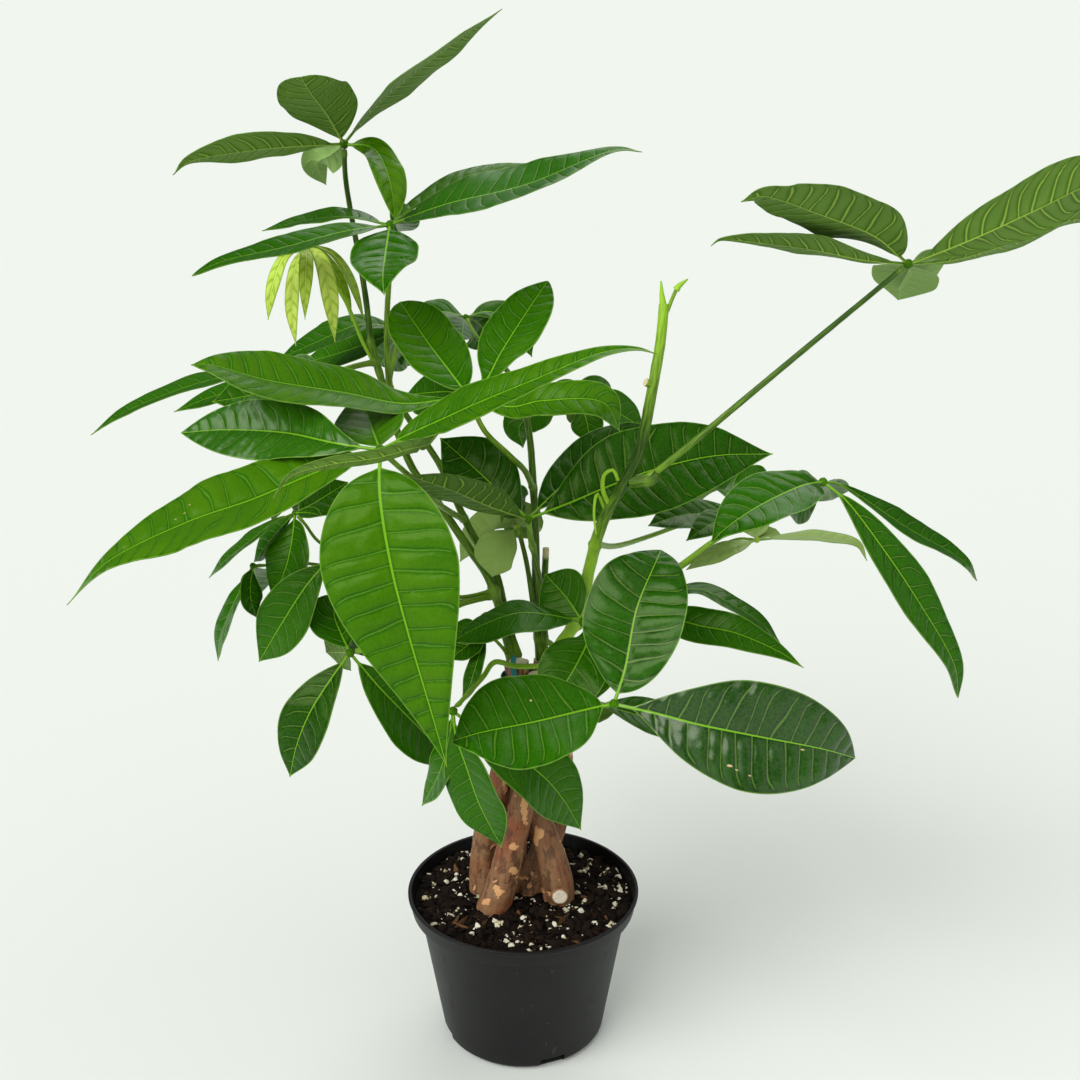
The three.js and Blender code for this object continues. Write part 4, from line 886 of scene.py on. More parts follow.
@dataclass(frozen=True)
class StemFinish:
    """A green stem that darkens where kind is low, with fine streaks and cut ends in cream.

    course holds how far along and how far round the stem a spot lies, and how close it is to
    a joint. kind holds how bright the green is, 1 on a cut or scar, and 1 on dry brown skin.
    """

    name: str = "stem"
    dark: Colour = ink(36, 70, 4)
    bright: Colour = ink(148, 194, 44)
    streak: Colour = ink(132, 170, 56)
    scar: Colour = ink(212, 200, 160)
    dry: Colour = ink(120, 84, 52)
    gloss: float = 0.42

    def build(self) -> bpy.types.Material:
        """Builds the finish.

        Returns:
            Its material.
        """
        shader = Shader(self.name, Specular_IOR_Level=0.25)
        along, turn, joint = shader.traits(Trait.COURSE)
        fresh, cut, dry = shader.traits(Trait.KIND)
        lines = shader.streaks(turn * 9, along * 0.05, 1.6)
        flecks = shader.cloud(1400, 2)
        tone = fresh + (lines - 0.5) * 0.9
        colour = shader.mix(shader.step(tone, 0.0, 1.0), self.dark, self.bright)
        colour = shader.mix(shader.step(flecks, 0.66, 0.76) * 0.35, colour, self.streak)
        colour = shader.mix(joint * 0.4, colour, self.streak)
        colour = shader.mix(dry * (0.7 + flecks * 0.3), colour, self.dry)
        colour = shader.mix(cut, colour, shader.shaded(0.75 + flecks * 0.5, self.scar))
        rough = self.gloss + (lines - 0.5) * 0.15 + cut * 0.35 + dry * 0.3
        shader.dress(colour, rough, lines * 0.7 + flecks * 0.3, 0.12)
        return shader.material


@dataclass(frozen=True)
class BarkFinish:
    """Thin brown bark with grey skin, cracks with painted shade in them, red-brown rubs and pale patches
    where it peeled.

    course holds how far along and how far round the strand a spot lies, and the depth of the
    bark there. kind holds how far the bark has peeled, 1 on a cut, and how red the bark is.
    """

    name: str = "bark"
    brown: Colour = ink(132, 92, 60)
    dark: Colour = ink(66, 41, 26)
    grey: Colour = ink(144, 110, 77)
    red: Colour = ink(140, 80, 48)
    peeled: Colour = ink(222, 166, 112)
    cut: Colour = ink(226, 214, 190)

    def build(self) -> bpy.types.Material:
        """Builds the finish.

        Returns:
            Its material.
        """
        shader = Shader(self.name, Specular_IOR_Level=0.3)
        along, turn, depth = shader.traits(Trait.COURSE)
        peel, cut, redness = shader.traits(Trait.KIND)
        lines = shader.streaks(turn * 16, along * 0.05, 1.3, 5)
        rings = shader.streaks(turn * 3, along * 0.6, 1.1, 4)
        patches = shader.cloud(60, 4)
        grain = shader.cloud(900, 4)
        flakes = shader.step(shader.cloud(150, 2, (1, 1, 0.55)), 0.73, 0.75)
        colour = shader.mix(shader.step(patches, 0.3, 0.75), self.brown, self.grey)
        colour = shader.mix(redness * shader.step(patches + lines, 0.8, 1.15), colour, self.red)
        colour = shader.mix(shader.step(lines, 0.5, 0.7) * 0.42, colour, self.dark)
        # Painted shade: darker where the bark lies low, in its cracks and between its cords.
        colour = shader.mix((1 - shader.step(depth, 0.05, 0.35)) * 0.6, colour, self.dark)
        colour = shader.mix(shader.step(rings, 0.56, 0.66) * 0.16, colour, self.dark)
        colour = shader.shaded(0.65 + grain * 0.7, colour)
        torn = shader.step(peel + (grain - 0.5) * 0.7 + (patches - 0.5) * 0.4, 0.4, 0.56)
        colour = shader.mix(shader.maths("MAXIMUM", torn, flakes) * 0.85, colour, self.peeled)
        colour = shader.mix(cut, colour, shader.shaded(0.7 + lines * 0.6, self.cut))
        rough = 0.42 + grain * 0.3
        relief = lines * 0.4 + rings * 0.25 + grain * 0.35
        shader.dress(colour, rough, relief, 1.1)
        return shader.material


@dataclass(frozen=True)
class PotFinish:
    """Moulded black plastic with a soft sheen, faint specks of dust and a few fine scuffs."""

    name: str = "pot_plastic"
    black: Colour = ink(9, 9, 9)
    worn: Colour = ink(18, 18, 18)
    dust: Colour = ink(84, 82, 76)

    def build(self) -> bpy.types.Material:
        """Builds the finish.

        Returns:
            Its material.
        """
        shader = Shader(self.name, Specular_IOR_Level=0.26)
        clouds = shader.cloud(24, 4)
        grain = shader.cloud(2200, 2)
        scuffs = shader.cloud(95, 5, (1, 1, 0.35), 0.7)
        specks = shader.cloud(420, 3)
        colour = shader.mix(shader.step(clouds, 0.4, 0.75), self.black, self.worn)
        colour = shader.mix(shader.step(scuffs, 0.62, 0.72) * 0.3, colour, self.dust)
        colour = shader.mix(shader.step(specks, 0.7, 0.76) * 0.55, colour, self.dust)
        rough = 0.42 + clouds * 0.16 + shader.step(scuffs, 0.58, 0.7) * 0.15
        shader.dress(colour, rough, grain * 0.6 + scuffs * 0.4, 0.09)
        return shader.material


@dataclass(frozen=True)
class SoilFinish:
    """Damp peat: near black, with brown crumbs and fibres."""

    name: str = "potting_soil"
    dark: Colour = ink(10, 8, 6)
    brown: Colour = ink(30, 21, 15)
    fibre: Colour = ink(84, 58, 36)

    def build(self) -> bpy.types.Material:
        """Builds the finish.

        Returns:
            Its material.
        """
        shader = Shader(self.name, Specular_IOR_Level=0.08)
        clods = shader.cloud(160, 5, rough=0.65)
        grain = shader.cloud(1100, 4)
        fibres = shader.cloud(520, 2, (1, 0.2, 1))
        colour = shader.mix(shader.step(clods, 0.46, 0.72), self.dark, self.brown)
        colour = shader.mix(shader.step(fibres, 0.68, 0.74) * 0.6, colour, self.fibre)
        shader.dress(colour, 0.55 + grain * 0.4, clods * 0.6 + grain * 0.4, 1.1)
        return shader.material


@dataclass(frozen=True)
class GrainFinish:
    """Loose grains in the soil. kind's first number says how far a grain is from start to end."""

    name: str
    start: Colour
    end: Colour
    rough: float = 0.85
    relief: float = 0.25

    def build(self) -> bpy.types.Material:
        """Builds the finish.

        Returns:
            Its material.
        """
        shader = Shader(self.name, Specular_IOR_Level=0.12)
        tint, _, _ = shader.traits(Trait.KIND)
        pits = shader.cloud(1500, 3)
        colour = shader.mix(tint, self.start, self.end)
        colour = shader.shaded(0.78 + pits * 0.44, colour)
        shader.dress(colour, self.rough + (pits - 0.5) * 0.15, pits, self.relief)
        return shader.material


@dataclass(frozen=True)
class TieFinish:
    """Teal stretch tape with fine ribs round it."""

    name: str = "tie_plastic"
    teal: Colour = ink(22, 132, 138)
    shade: Colour = ink(10, 92, 100)

    def build(self) -> bpy.types.Material:
        """Builds the finish.

        Returns:
            Its material.
        """
        shader = Shader(self.name, Specular_IOR_Level=0.4)
        _, across, _ = shader.traits(Trait.COURSE)
        ribs = shader.maths("PINGPONG", across * 6, 0.5) * 2
        clouds = shader.cloud(220, 3)
        colour = shader.mix(ribs * 0.5 + clouds * 0.4, self.teal, self.shade)
        shader.dress(colour, 0.45 + clouds * 0.2, ribs, 0.15)
        return shader.material


@dataclass(frozen=True)
class FloorFinish:
    """A plain pale studio floor with the faintest cloud of tone in it."""

    tone: Colour
    name: str = "studio_floor"

    def build(self) -> bpy.types.Material:
        """Builds the finish.

        Returns:
            Its material.
        """
        shader = Shader(self.name, Specular_IOR_Level=0.0)
        clouds = shader.cloud(1.5, 2)
        shader.dress(shader.shaded(0.995 + clouds * 0.01, self.tone), 1.0)
        return shader.material


# Meshes


class Form:
    """One piece while it is made, in mm, with the attributes that its finish reads."""

    crisp = math.radians(55)

    def __init__(self) -> None:
        """Starts an empty piece."""
        self.mesh = bmesh.new()
        self.traits = {trait: self.mesh.loops.layers.float_vector.new(trait.value) for trait in Trait}

    def mark(self, face: bmesh.types.BMFace, marks: Callable[[Vector], Marks]) -> None:
        """Writes both attributes at each corner of a face, from the corner's place."""
        for loop in face.loops:
            loop[self.traits[Trait.COURSE]], loop[self.traits[Trait.KIND]] = marks(loop.vert.co)

    def sheet(self, rows: int, columns: int) -> tuple[list[bmesh.types.BMVert], list[bmesh.types.BMFace]]:
        """Adds a flat grid whose corners lie at 0 to 1 along X and -1 to 1 along Y.

        Args:
            rows: How many steps it has along X.
            columns: How many it has along Y.

        Returns:
            Its corners and its faces.
        """
        made = bmesh.ops.create_grid(self.mesh, x_segments=rows, y_segments=columns, size=0.5)["verts"]
        bmesh.ops.translate(self.mesh, verts=made, vec=(0.5, 0, 0))
        bmesh.ops.scale(self.mesh, verts=made, vec=(1, 2, 1))
        return made, faces_of(made)

    def spun(self, outline: Sequence[tuple[float, float]], sides: int, soft: float = 0) -> None:
        """Adds a shape spun round the pot's axis.

        Args:
            outline: Radius and height from corner to corner, which starts and ends on the axis.
            sides: How many steps it has round.
            soft: How much its edges are rounded, in mm.
        """
        corners = [self.mesh.verts.new((radius, 0, up)) for radius, up in outline]
        for before, after in zip(corners, corners[1:]):
            self.mesh.edges.new((before, after))
        if soft:
            bmesh.ops.bevel(
                self.mesh, geom=corners[1:-1], offset=soft, segments=3, profile=0.5,
                affect="VERTICES", material=-1,
            )
        bmesh.ops.spin(
            self.mesh, geom=[*self.mesh.verts, *self.mesh.edges], cent=(0, 0, 0), axis=(0, 0, 1),
            angle=FULL_TURN, steps=sides, use_merge=True,
        )
        bmesh.ops.remove_doubles(self.mesh, verts=self.mesh.verts[:], dist=TINY)

    def tube(
        self,
        course: Course,
        rows: Sequence[tuple[float, float]],
        sides: int,
        place: Callable[[Step], Vector],
        marks: Callable[[Step], Marks],
    ) -> None:
        """Adds a closed tube along a course, wrapped from a flat grid.

        Args:
            course: Its centre line.
            rows: For each row, its share of the course's length and its girth.
            sides: How many steps it has round.
            place: Gives the place of a corner.
            marks: Gives both attributes of a corner.
        """
        frames = Frames(course, rows)
        last = len(rows) - 1
        made, faces = self.sheet(last, sides)
        for face in faces:
            self.mark(face, lambda flat: marks(frames.step(round(flat.x * last), (flat.y + 1) / 2)))
        for vert in made:
            vert.co = place(frames.step(round(vert.co.x * last), (vert.co.y + 1) / 2))
        bmesh.ops.remove_doubles(self.mesh, verts=made, dist=TINY)

    def finish(self, name: str, material: bpy.types.Material) -> bpy.types.Object:
        """Turns the piece into an object in metres.

        Args:
            name: The object's name.
            material: Its finish.

        Returns:
            The object, which moves with the plant.
        """
        bmesh.ops.recalc_face_normals(self.mesh, faces=self.mesh.faces[:])
        bmesh.ops.scale(self.mesh, verts=self.mesh.verts[:], vec=(MM, MM, MM))
        for face in self.mesh.faces:
            face.smooth = True
        for edge in self.mesh.edges:
            edge.smooth = edge.calc_face_angle(0) < self.crisp
        data = to_mesh(name, self.mesh)
        data.materials.append(material)
        piece = add_object(name, data)
        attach(piece, "root")
        LOG.info("%s: %d faces", name, len(data.polygons))
        return piece


@dataclass(frozen=True)
class Step:
    """A corner of a tube: its row, and how far round it lies, from 0 to 1.

    share is its share of the course's length and girth its row's girth. centre is the course's
    place there in mm, and out the direction from it to the corner.
    """

    row: int
    turn: float
    share: float
    girth: float
    centre: Vector
    out: Vector


class Frames:
    """Even cross directions along a course, which turn with it and don't twist."""

    def __init__(self, course: Course, rows: Sequence[tuple[float, float]]) -> None:
        """Carries one cross direction along the course.

        Args:
            course: The course.
            rows: For each row, its share of the course's length and its girth.
        """
        self.rows = rows
        self.centres = [course.at(share) for share, _ in rows]
        self.aheads = [course.ahead(share) for share, _ in rows]
        self.ups: list[Vector] = []
        up = self.aheads[0].orthogonal().normalized()
        for ahead in self.aheads:
            up = (up - ahead * up.dot(ahead)).normalized()
            self.ups.append(up)

    def step(self, row: int, turn: float) -> Step:
        """Describes a corner of the tube.

        Args:
            row: Its row.
            turn: How far round it lies, from 0 to 1.

        Returns:
            The corner.
        """
        up = self.ups[row]
        side = self.aheads[row].cross(up)
        out = up * math.cos(FULL_TURN * turn) + side * math.sin(FULL_TURN * turn)
        return Step(row, turn, *self.rows[row], self.centres[row], out)


def faces_of(corners: Sequence[bmesh.types.BMVert]) -> list[bmesh.types.BMFace]:
    """Returns the faces that some corners belong to, each once."""
    return list(dict.fromkeys(face for corner in corners for face in corner.link_faces))


def to_mesh(name: str, shape: bmesh.types.BMesh) -> bpy.types.Mesh:
    """Turns a finished shape into a mesh, and frees it.

    Args:
        name: The mesh's name.
        shape: The shape.

    Returns:
        The mesh.
    """
    data = bpy.data.meshes.new(name)
    shape.to_mesh(data)
    shape.free()
    return data


def add_object(name: str, data: bpy.types.ID | None) -> bpy.types.Object:
    """Adds an object to the scene.

    Args:
        name: Its name.
        data: Its mesh, light or camera.

    Returns:
        The object.
    """
    made = bpy.data.objects.new(name, data)
    bpy.context.scene.collection.objects.link(made)
    return made


def end_rows(steps: int) -> list[tuple[float, float]]:
    """Lists the rows of a tube with rounded, closed ends.

    Args:
        steps: How many steps it has along.

    Returns:
        For each row, its share of the length and how much of the girth it has.
    """
    girths = (0.0, 0.7, 0.93)
    first = [(0.0, girth) for girth in girths]
    last = [(1.0, girth) for girth in reversed(girths)]
    return [*first, *((i / steps, 1.0) for i in range(steps + 1)), *last]


# Leaves


@dataclass(frozen=True)
class Row:
    """One cross row of a leaflet.

    side and face point to the row's left and to its upper side. half is its half width and
    reach its distance from the foot, in mm. open is 0 in the round root and 1 in the blade,
    and bend is how steeply its halves rise.
    """

    centre: Vector
    side: Vector
    face: Vector
    half: float
    reach: float
    open: float
    bend: float


@dataclass
class LeafletMaker:
    """Shapes one leaflet: blade, rib, side veins and the green between them.

    The root is the first share of the rib, round and sunk into the hub's knob. Side veins lean
    forward the more, the narrower the blade. spread crowds the grid's columns at the rib, and
    beside_rib is how far off the rib a corner counts as on its half.
    """

    blade: Blade
    hub: Vector
    knob: float
    seed: float
    root_share: float = 0.055
    root_sunk: float = 0.45
    root_half: float = 1.1
    root_thick: float = 1.7
    tip_half: float = 0.2
    blade_thick: float = 0.42
    vein_space: float = 9.2
    least_veins: int = 6
    most_veins: int = 17
    vein_rows: int = 7
    column: float = 5.5
    least_lean: float = 0.13
    more_lean: float = 0.75
    lean_span: float = 70.0
    stagger: float = 0.42
    spread: float = 1.3
    fleck_thick: float = 0.35
    beside_rib: float = 1e-6

    def __post_init__(self) -> None:
        """Works out the rib's course, the veins and the rows."""
        line = [VIEW.place(spot) for spot in self.blade.rib]
        away = (line[0] - self.hub).normalized()
        self.course = Course([self.hub + away * self.knob * self.root_sunk, *line])
        veins = round(self.course.length / self.vein_space)
        veins = max(self.least_veins, min(self.most_veins, veins))
        self.space = self.course.length / veins
        slender = max(0.0, 1 - self.blade.wide / self.lean_span)
        self.lean = self.least_lean + self.more_lean * slender
        self.back = 0.05 * smooth(self.blade.wide, 48, 62)
        self.rows = veins * self.vein_rows
        self.columns = 2 * max(5, round(self.blade.wide / self.column))
        self.strips = [self._row(i / self.rows) for i in range(self.rows + 1)]

    def _share(self, along: float) -> float:
        """Finds the blade's width.

        Args:
            along: The share of its length.

        Returns:
            The width there, as a share of the full width.
        """
        blade = self.blade
        if along <= self.root_share:
            return 0.0
        if along < blade.fat:
            climb = (along - self.root_share) / (blade.fat - self.root_share)
            return math.sin(math.pi / 2 * climb) ** blade.foot
        fall = (along - blade.fat) / (1 - blade.fat)
        return max(0.0, math.cos(math.pi / 2 * fall**blade.slim)) ** blade.tip

    def _row(self, along: float) -> Row:
        """Works out one cross row.

        Args:
            along: The share of the rib's length.

        Returns:
            The row.
        """
        centre = self.course.at(along)
        ahead = self.course.ahead(along)
        to_eye = (Vector(VIEW.eye) - centre).normalized()
        face = (to_eye - ahead * to_eye.dot(ahead)).normalized()
        face = Matrix.Rotation(math.radians(self.blade.turn), 3, ahead) @ face
        opened = smooth(along, self.root_share * 0.7, self.root_share * 2)
        least = blend(smooth(along, 0, 0.3), self.root_half, self.tip_half)
        half = max(least, self.blade.wide / 2 * self._share(along))
        bend = math.tan(math.radians(self.blade.fold)) * opened
        return Row(centre, ahead.cross(face), face, half, along * self.course.length, opened, bend)

    def _count(self, row: Row, across: float) -> float:
        """Counts the side veins up to a spot.

        Args:
            row: The spot's row.
            across: Where it lies in the row, from -1 to 1.

        Returns:
            The count, which is a whole number on a vein.
        """
        out = abs(across)
        hook = self.lean * (out + 0.9 * out**5) - self.back * smooth(out, 0.4, 0.95)
        stagger = self.stagger if across > 0 else 0.0
        wander = ripple(Vector((row.reach + 3 * out, 30 * stagger, 90 * self.seed)), 16, 2)
        stray = 0.14 + 0.15 * self.blade.quilt
        return (row.reach - row.half * hook) / self.space + stagger + stray * wander

    def _height(self, row: Row, along: float, across: float) -> float:
        """Finds how far the sheet lies off its rib, towards its upper side.

        Args:
            row: The spot's row.
            along: The share of the rib's length.
            across: Where the spot lies in the row, from -1 to 1.

        Returns:
            The height in mm.
        """
        out = abs(across)
        part = self._count(row, across) % 1.0
        swell = math.sin(math.pi * part**1.4) ** 0.5
        cross = 1 + 0.5 * ripple(Vector((row.reach, across * row.half * 1.6, 40 * self.seed)), 7, 1)
        room = smooth(out, 0.02, 0.25) * (1 - smooth(out, 0.8, 1.0)) * min(1.0, row.half / 9)
        quilt = 0.085 * self.space * self.blade.quilt * (swell * cross - 0.5) * room
        waves = math.sin(FULL_TURN * (2.6 * along + self.seed) + (1.7 if across > 0 else 0))
        rim = 0.035 * row.half * waves * out**3 + 0.05 * row.half * ripple(row.centre, 26) * out**2
        arch = row.bend * row.half * out * (1.12 - 0.34 * out**2)
        return arch + (quilt + rim) * row.open

    def _place(self, flat: Vector, above: bool) -> Vector:
        """Finds where a corner of the flat grid goes.

        Args:
            flat: The corner.
            above: True on the upper side.

        Returns:
            Its place on the leaflet, in mm.
        """
        along = flat.x
        row = self.strips[round(along * self.rows)]
        across = math.copysign(abs(flat.y) ** self.spread, flat.y)
        gap = abs(across) * row.half
        rib = smooth(1 - gap / (0.5 + 1.3 * (1 - along)), 0, 1) * max(0.0, 1 - along) ** 0.5
        sheet = self.blade_thick / 2 + (0.16 if above else 0.75) * rib
        round_side = self.root_thick / 2 * math.sqrt(max(0.0, 1 - across * across))
        thick = blend(row.open, round_side, sheet)
        lift = self._height(row, along, across) + (thick if above else -thick)
        return row.centre + row.side * (across * row.half) + row.face * lift

    def _marks(self, flat: Vector, below: float) -> Marks:
        """Finds what the leaf's finish reads.

        Args:
            flat: A corner of the flat grid.
            below: 1 below and 0 above.

        Returns:
            Both attributes.
        """
        row = self.strips[round(flat.x * self.rows)]
        across = math.copysign(abs(flat.y) ** self.spread, flat.y)
        rib_half = (0.25 + 0.65 * (1 - flat.x)) * (0.6 + 0.4 * self.blade.wide / 60)
        gap = abs(across) * row.half
        course = (self._count(row, across), gap / rib_half, (row.half - gap) * row.open)
        return course, (below or -self.blade.wax, self.blade.fresh, self.space)

    def build(self, form: Form) -> None:
        """Adds the leaflet: a grid, given its second side, then laid on the rib.

        Args:
            form: The piece it goes into.
        """
        lower, faces = form.sheet(self.rows, self.columns)
        raised = bmesh.ops.extrude_face_region(form.mesh, geom=faces, use_keep_orig=True)["geom"]
        upper = {item for item in raised if isinstance(item, bmesh.types.BMVert)}
        bmesh.ops.reverse_faces(form.mesh, faces=faces)
        for face in faces_of([*lower, *upper]):
            below = 0.0 if all(vert in upper for vert in face.verts) else 1.0
            middle = sum(vert.co.y for vert in face.verts)
            form.mark(face, lambda flat: self._marks(self._on_side(flat, middle), below))
        for vert in lower:
            vert.co = self._place(vert.co, False)
        for vert in upper:
            vert.co = self._place(vert.co, True)

    def fleck(self, form: Form, fleck: Fleck) -> None:
        """Adds a thin dry fleck that lies in the leaflet's upper side.

        Args:
            form: The piece it goes into.
            fleck: Where it lies, and how large it is.
        """
        made = bmesh.ops.create_icosphere(form.mesh, subdivisions=2, radius=0.5)["verts"]
        row = self.strips[round(fleck.along * self.rows)]
        column = math.copysign(abs(fleck.across) ** (1 / self.spread), fleck.across)
        centre = self._place(Vector((fleck.along, column, 0)), True)
        ahead = row.side.cross(row.face)
        for vert in made:
            flat = vert.co * (1 + 0.35 * ripple(vert.co * 9 + centre, 3, 2))
            flat = Vector((flat.x * fleck.long, flat.y * fleck.wide, flat.z * self.fleck_thick))
            vert.co = centre + ahead * flat.x + row.side * flat.y + row.face * flat.z
        for face in faces_of(made):
            form.mark(face, lambda _: ((0, 0, 0), (0.3, 0, 0)))

    def _on_side(self, flat: Vector, middle: float) -> Vector:
        """Nudges a corner on the rib to its face's own half, whose veins are counted apart."""
        least = self.beside_rib
        return flat if abs(flat.y) > least else Vector((flat.x, math.copysign(least, middle), 0))


@dataclass
class LeafMaker:
    """One whole leaf: the hub and its leaflets."""

    leaf: Leaf
    knob: float = 3.0
    small_knob: float = 2.2

    def radius(self) -> float:
        """Returns the hub's radius in mm."""
        return self.small_knob if self.leaf.small else self.knob

    def _hub(self, form: Form, hub: Vector) -> None:
        """Adds the lumpy joint that the leaflets grow from.

        Args:
            form: The piece it goes into.
            hub: Its centre in mm.
        """
        made = bmesh.ops.create_icosphere(form.mesh, subdivisions=3, radius=self.radius() * 0.96)["verts"]
        for vert in made:
            vert.co = hub + vert.co * (1 + 0.1 * ripple(hub + vert.co, 2.2))
        for face in faces_of(made):
            form.mark(face, lambda _: ((0.5, 0.9, 3.0), (0.0, self.leaf.stalk, 8.0)))

    def _leaflets(self) -> list[LeafletMaker]:
        """Sets up the leaflets, each with its own seed.

        Returns:
            Their makers.
        """
        draw = random.Random(self.leaf.name)
        hub = VIEW.place(self.leaf.hub)
        return [LeafletMaker(blade, hub, self.radius(), draw.random()) for blade in self.leaf.blades]

    def flecks(self, material: bpy.types.Material) -> None:
        """Adds the leaf's dry flecks, if it has any.

        Args:
            material: The flecks' finish.
        """
        found = [fleck for fleck in FLECKS if fleck.leaf == self.leaf.name]
        if not found:
            return
        form = Form()
        leaflets = self._leaflets()
        for fleck in found:
            leaflets[fleck.blade].fleck(form, fleck)
        form.finish(f"{self.leaf.name}_flecks", material)

    def build(self, material: bpy.types.Material) -> None:
        """Builds the leaf in place of its solid.

        Args:
            material: The leaf's finish.
        """
        form = Form()
        self._hub(form, VIEW.place(self.leaf.hub))
        for leaflet in self._leaflets():
            leaflet.build(form)
        piece = form.finish(f"{self.leaf.name}_blades", material)
        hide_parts(self.leaf.name)


# Shoots


class Tone(Enum):
    """How bright the green of each shoot is."""

    LEFT = 0.3
    CENTRE = 0.25
    RIGHT = 0.75


@dataclass
class ShootMaker:
    """One shoot: its stems and the petioles that grow from them."""

    shoot: Shoot
    tone: float
    sides: int = 16
    pitch: float = 2.6
    gap: float = 0.35
    swelling: float = 2.2
    by_stem: float = 7.0
    healed: float = 0.93
    radii: tuple[float, float] = (2.1, 1.5)
    small_radii: tuple[float, float] = (1.4, 1.0)

    def _tube(
        self,
        form: Form,
        course: Course,
        radii: tuple[float, float],
        marks: Callable[[float], Spot],
        joints: Sequence[tuple[float, float]],
    ) -> None:
        """Adds one stem or petiole.

        Args:
            form: The piece.
            course: Its centre line.
            radii: Its radius in mm at the foot and the head.
            marks: Gives the finish's kind for a share of the length.
            joints: Swellings: how far along each lies in mm and how much it swells.
        """
        rows = end_rows(max(6, round(course.length / self.pitch)))

        def bulge(share: float) -> float:
            """Returns how much the stem swells at a share of its length."""
            reach = share * course.length
            return sum(size * math.exp(-(((reach - spot) / self.swelling) ** 2)) for spot, size in joints)

        def place(step: Step) -> Vector:
            """Returns the place of a corner of the stem."""
            lumps = (1 + bulge(step.share)) * (1 + 0.05 * ripple(step.centre + step.out * 3, 6))
            return step.centre + step.out * (blend(step.share, *radii) * lumps) * step.girth

        def traits(step: Step) -> Marks:
            """Returns what the finish reads at a corner of the stem."""
            swell = min(1.0, 4 * bulge(step.share))
            return (step.share * course.length, step.turn, swell), marks(step.share)

        form.tube(course, rows, self.sides, place, traits)

    def build(self, foot: float, leaves: Sequence[Leaf], material: bpy.types.Material) -> None:
        """Builds the shoot in place of its solid.

        Args:
            foot: The height in mm of the strand's top, which the stems stand on.
            leaves: The leaves that hang on this shoot.
            material: The stems' finish.
        """
        form = Form()
        courses = [Course([VIEW.place(spot) for spot in stem.line]) for stem in self.shoot.stems]
        hung = [leaf for leaf in leaves if leaf.shoot == self.shoot.name]
        starts = [VIEW.place(leaf.petiole[0]) for leaf in hung]
        for stem, course in zip(self.shoot.stems, courses):
            near = [course.nearest(start) for start in starts]
            joints = [(share * course.length, 0.22) for share, off in near if off < self.by_stem]
            self._tube(form, course, (stem.foot, stem.head), functools.partial(self._kind, stem), joints)
        for leaf in hung:
            self._petiole(form, leaf)
        self._trim(form, foot + self.gap)
        piece = form.finish(f"{self.shoot.name}_stems", material)
        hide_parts(self.shoot.name)

    def _kind(self, stem: Stem, share: float) -> Spot:
        """Finds what the finish reads on a stem.

        Args:
            stem: The stem.
            share: The share of its length.

        Returns:
            The finish's kind.
        """
        tones = stem.tones or (self.tone, self.tone)
        spans = len(tones) - 1
        span = min(int(share * spans), spans - 1)
        tone = blend(share * spans - span, tones[span], tones[span + 1])
        return tone, float(stem.cut and share > self.healed), 0.0

    def _petiole(self, form: Form, leaf: Leaf) -> None:
        """Adds the stalk of one leaf, which stops just short of its hub.

        Args:
            form: The piece it goes into.
            leaf: The leaf.
        """
        line = [VIEW.place(spot) for spot in leaf.petiole]
        hub = VIEW.place(leaf.hub)
        away = (line[-1] - hub).normalized() * (LeafMaker(leaf).radius() + self.gap)
        course = Course([*line, hub + away])
        radii = self.small_radii if leaf.small else self.radii
        joints = [(2.0, 0.35), (course.length - 2.0, 0.3)]

        def kind(share: float) -> Spot:
            """Returns what the finish reads at a share of the stalk's length."""
            return blend(share**0.25, self.tone, leaf.stalk), 0, 0

        self._tube(form, course, radii, kind, joints)

    def _trim(self, form: Form, foot: float) -> None:
        """Cuts the stems level where they stand on the trunk, and closes them there.

        Args:
            form: The piece.
            foot: The height of the cut in mm.
        """
        whole = [*form.mesh.verts, *form.mesh.edges, *form.mesh.faces]
        cut = bmesh.ops.bisect_plane(
            form.mesh, geom=whole, plane_co=(0, 0, foot), plane_no=(0, 0, 1), clear_inner=True
        )
        rims = [item for item in cut["geom_cut"] if isinstance(item, bmesh.types.BMEdge)]
        bmesh.ops.holes_fill(form.mesh, edges=rims, sides=0)


# Trunk


@dataclass(frozen=True)
class Rub:
    """A spot of the bark seen from the viewpoint: where, its two half sizes and how pale it is."""

    across: float
    down: float
    wide: float
    tall: float
    pale: float = 1.0


RUBS = (
    Rub(524, 806, 3.4, 15), Rub(536, 838, 2.6, 12), Rub(514, 847, 4.2, 4), Rub(514, 871, 5, 6),
    Rub(486, 902, 5.5, 4.5, 0.8), Rub(498, 890, 2.8, 3), Rub(505, 787, 3, 9, 0.7), Rub(523, 878, 7, 1.8),
    Rub(540, 833, 4.6, 6, 0.7), Rub(474, 888, 2.6, 3, 0.7), Rub(541, 890, 2.5, 4, 0.6),
)


# The scar's outline: the share of its length, and its radius in mm
SCAR_OUTLINE = (
    (0, 0), (0, 6.2), (0.45, 6.6), (0.75, 6.8), (0.9, 6.5), (0.97, 5.7), (1, 4.6), (0.98, 3.0), (0.99, 0),
)


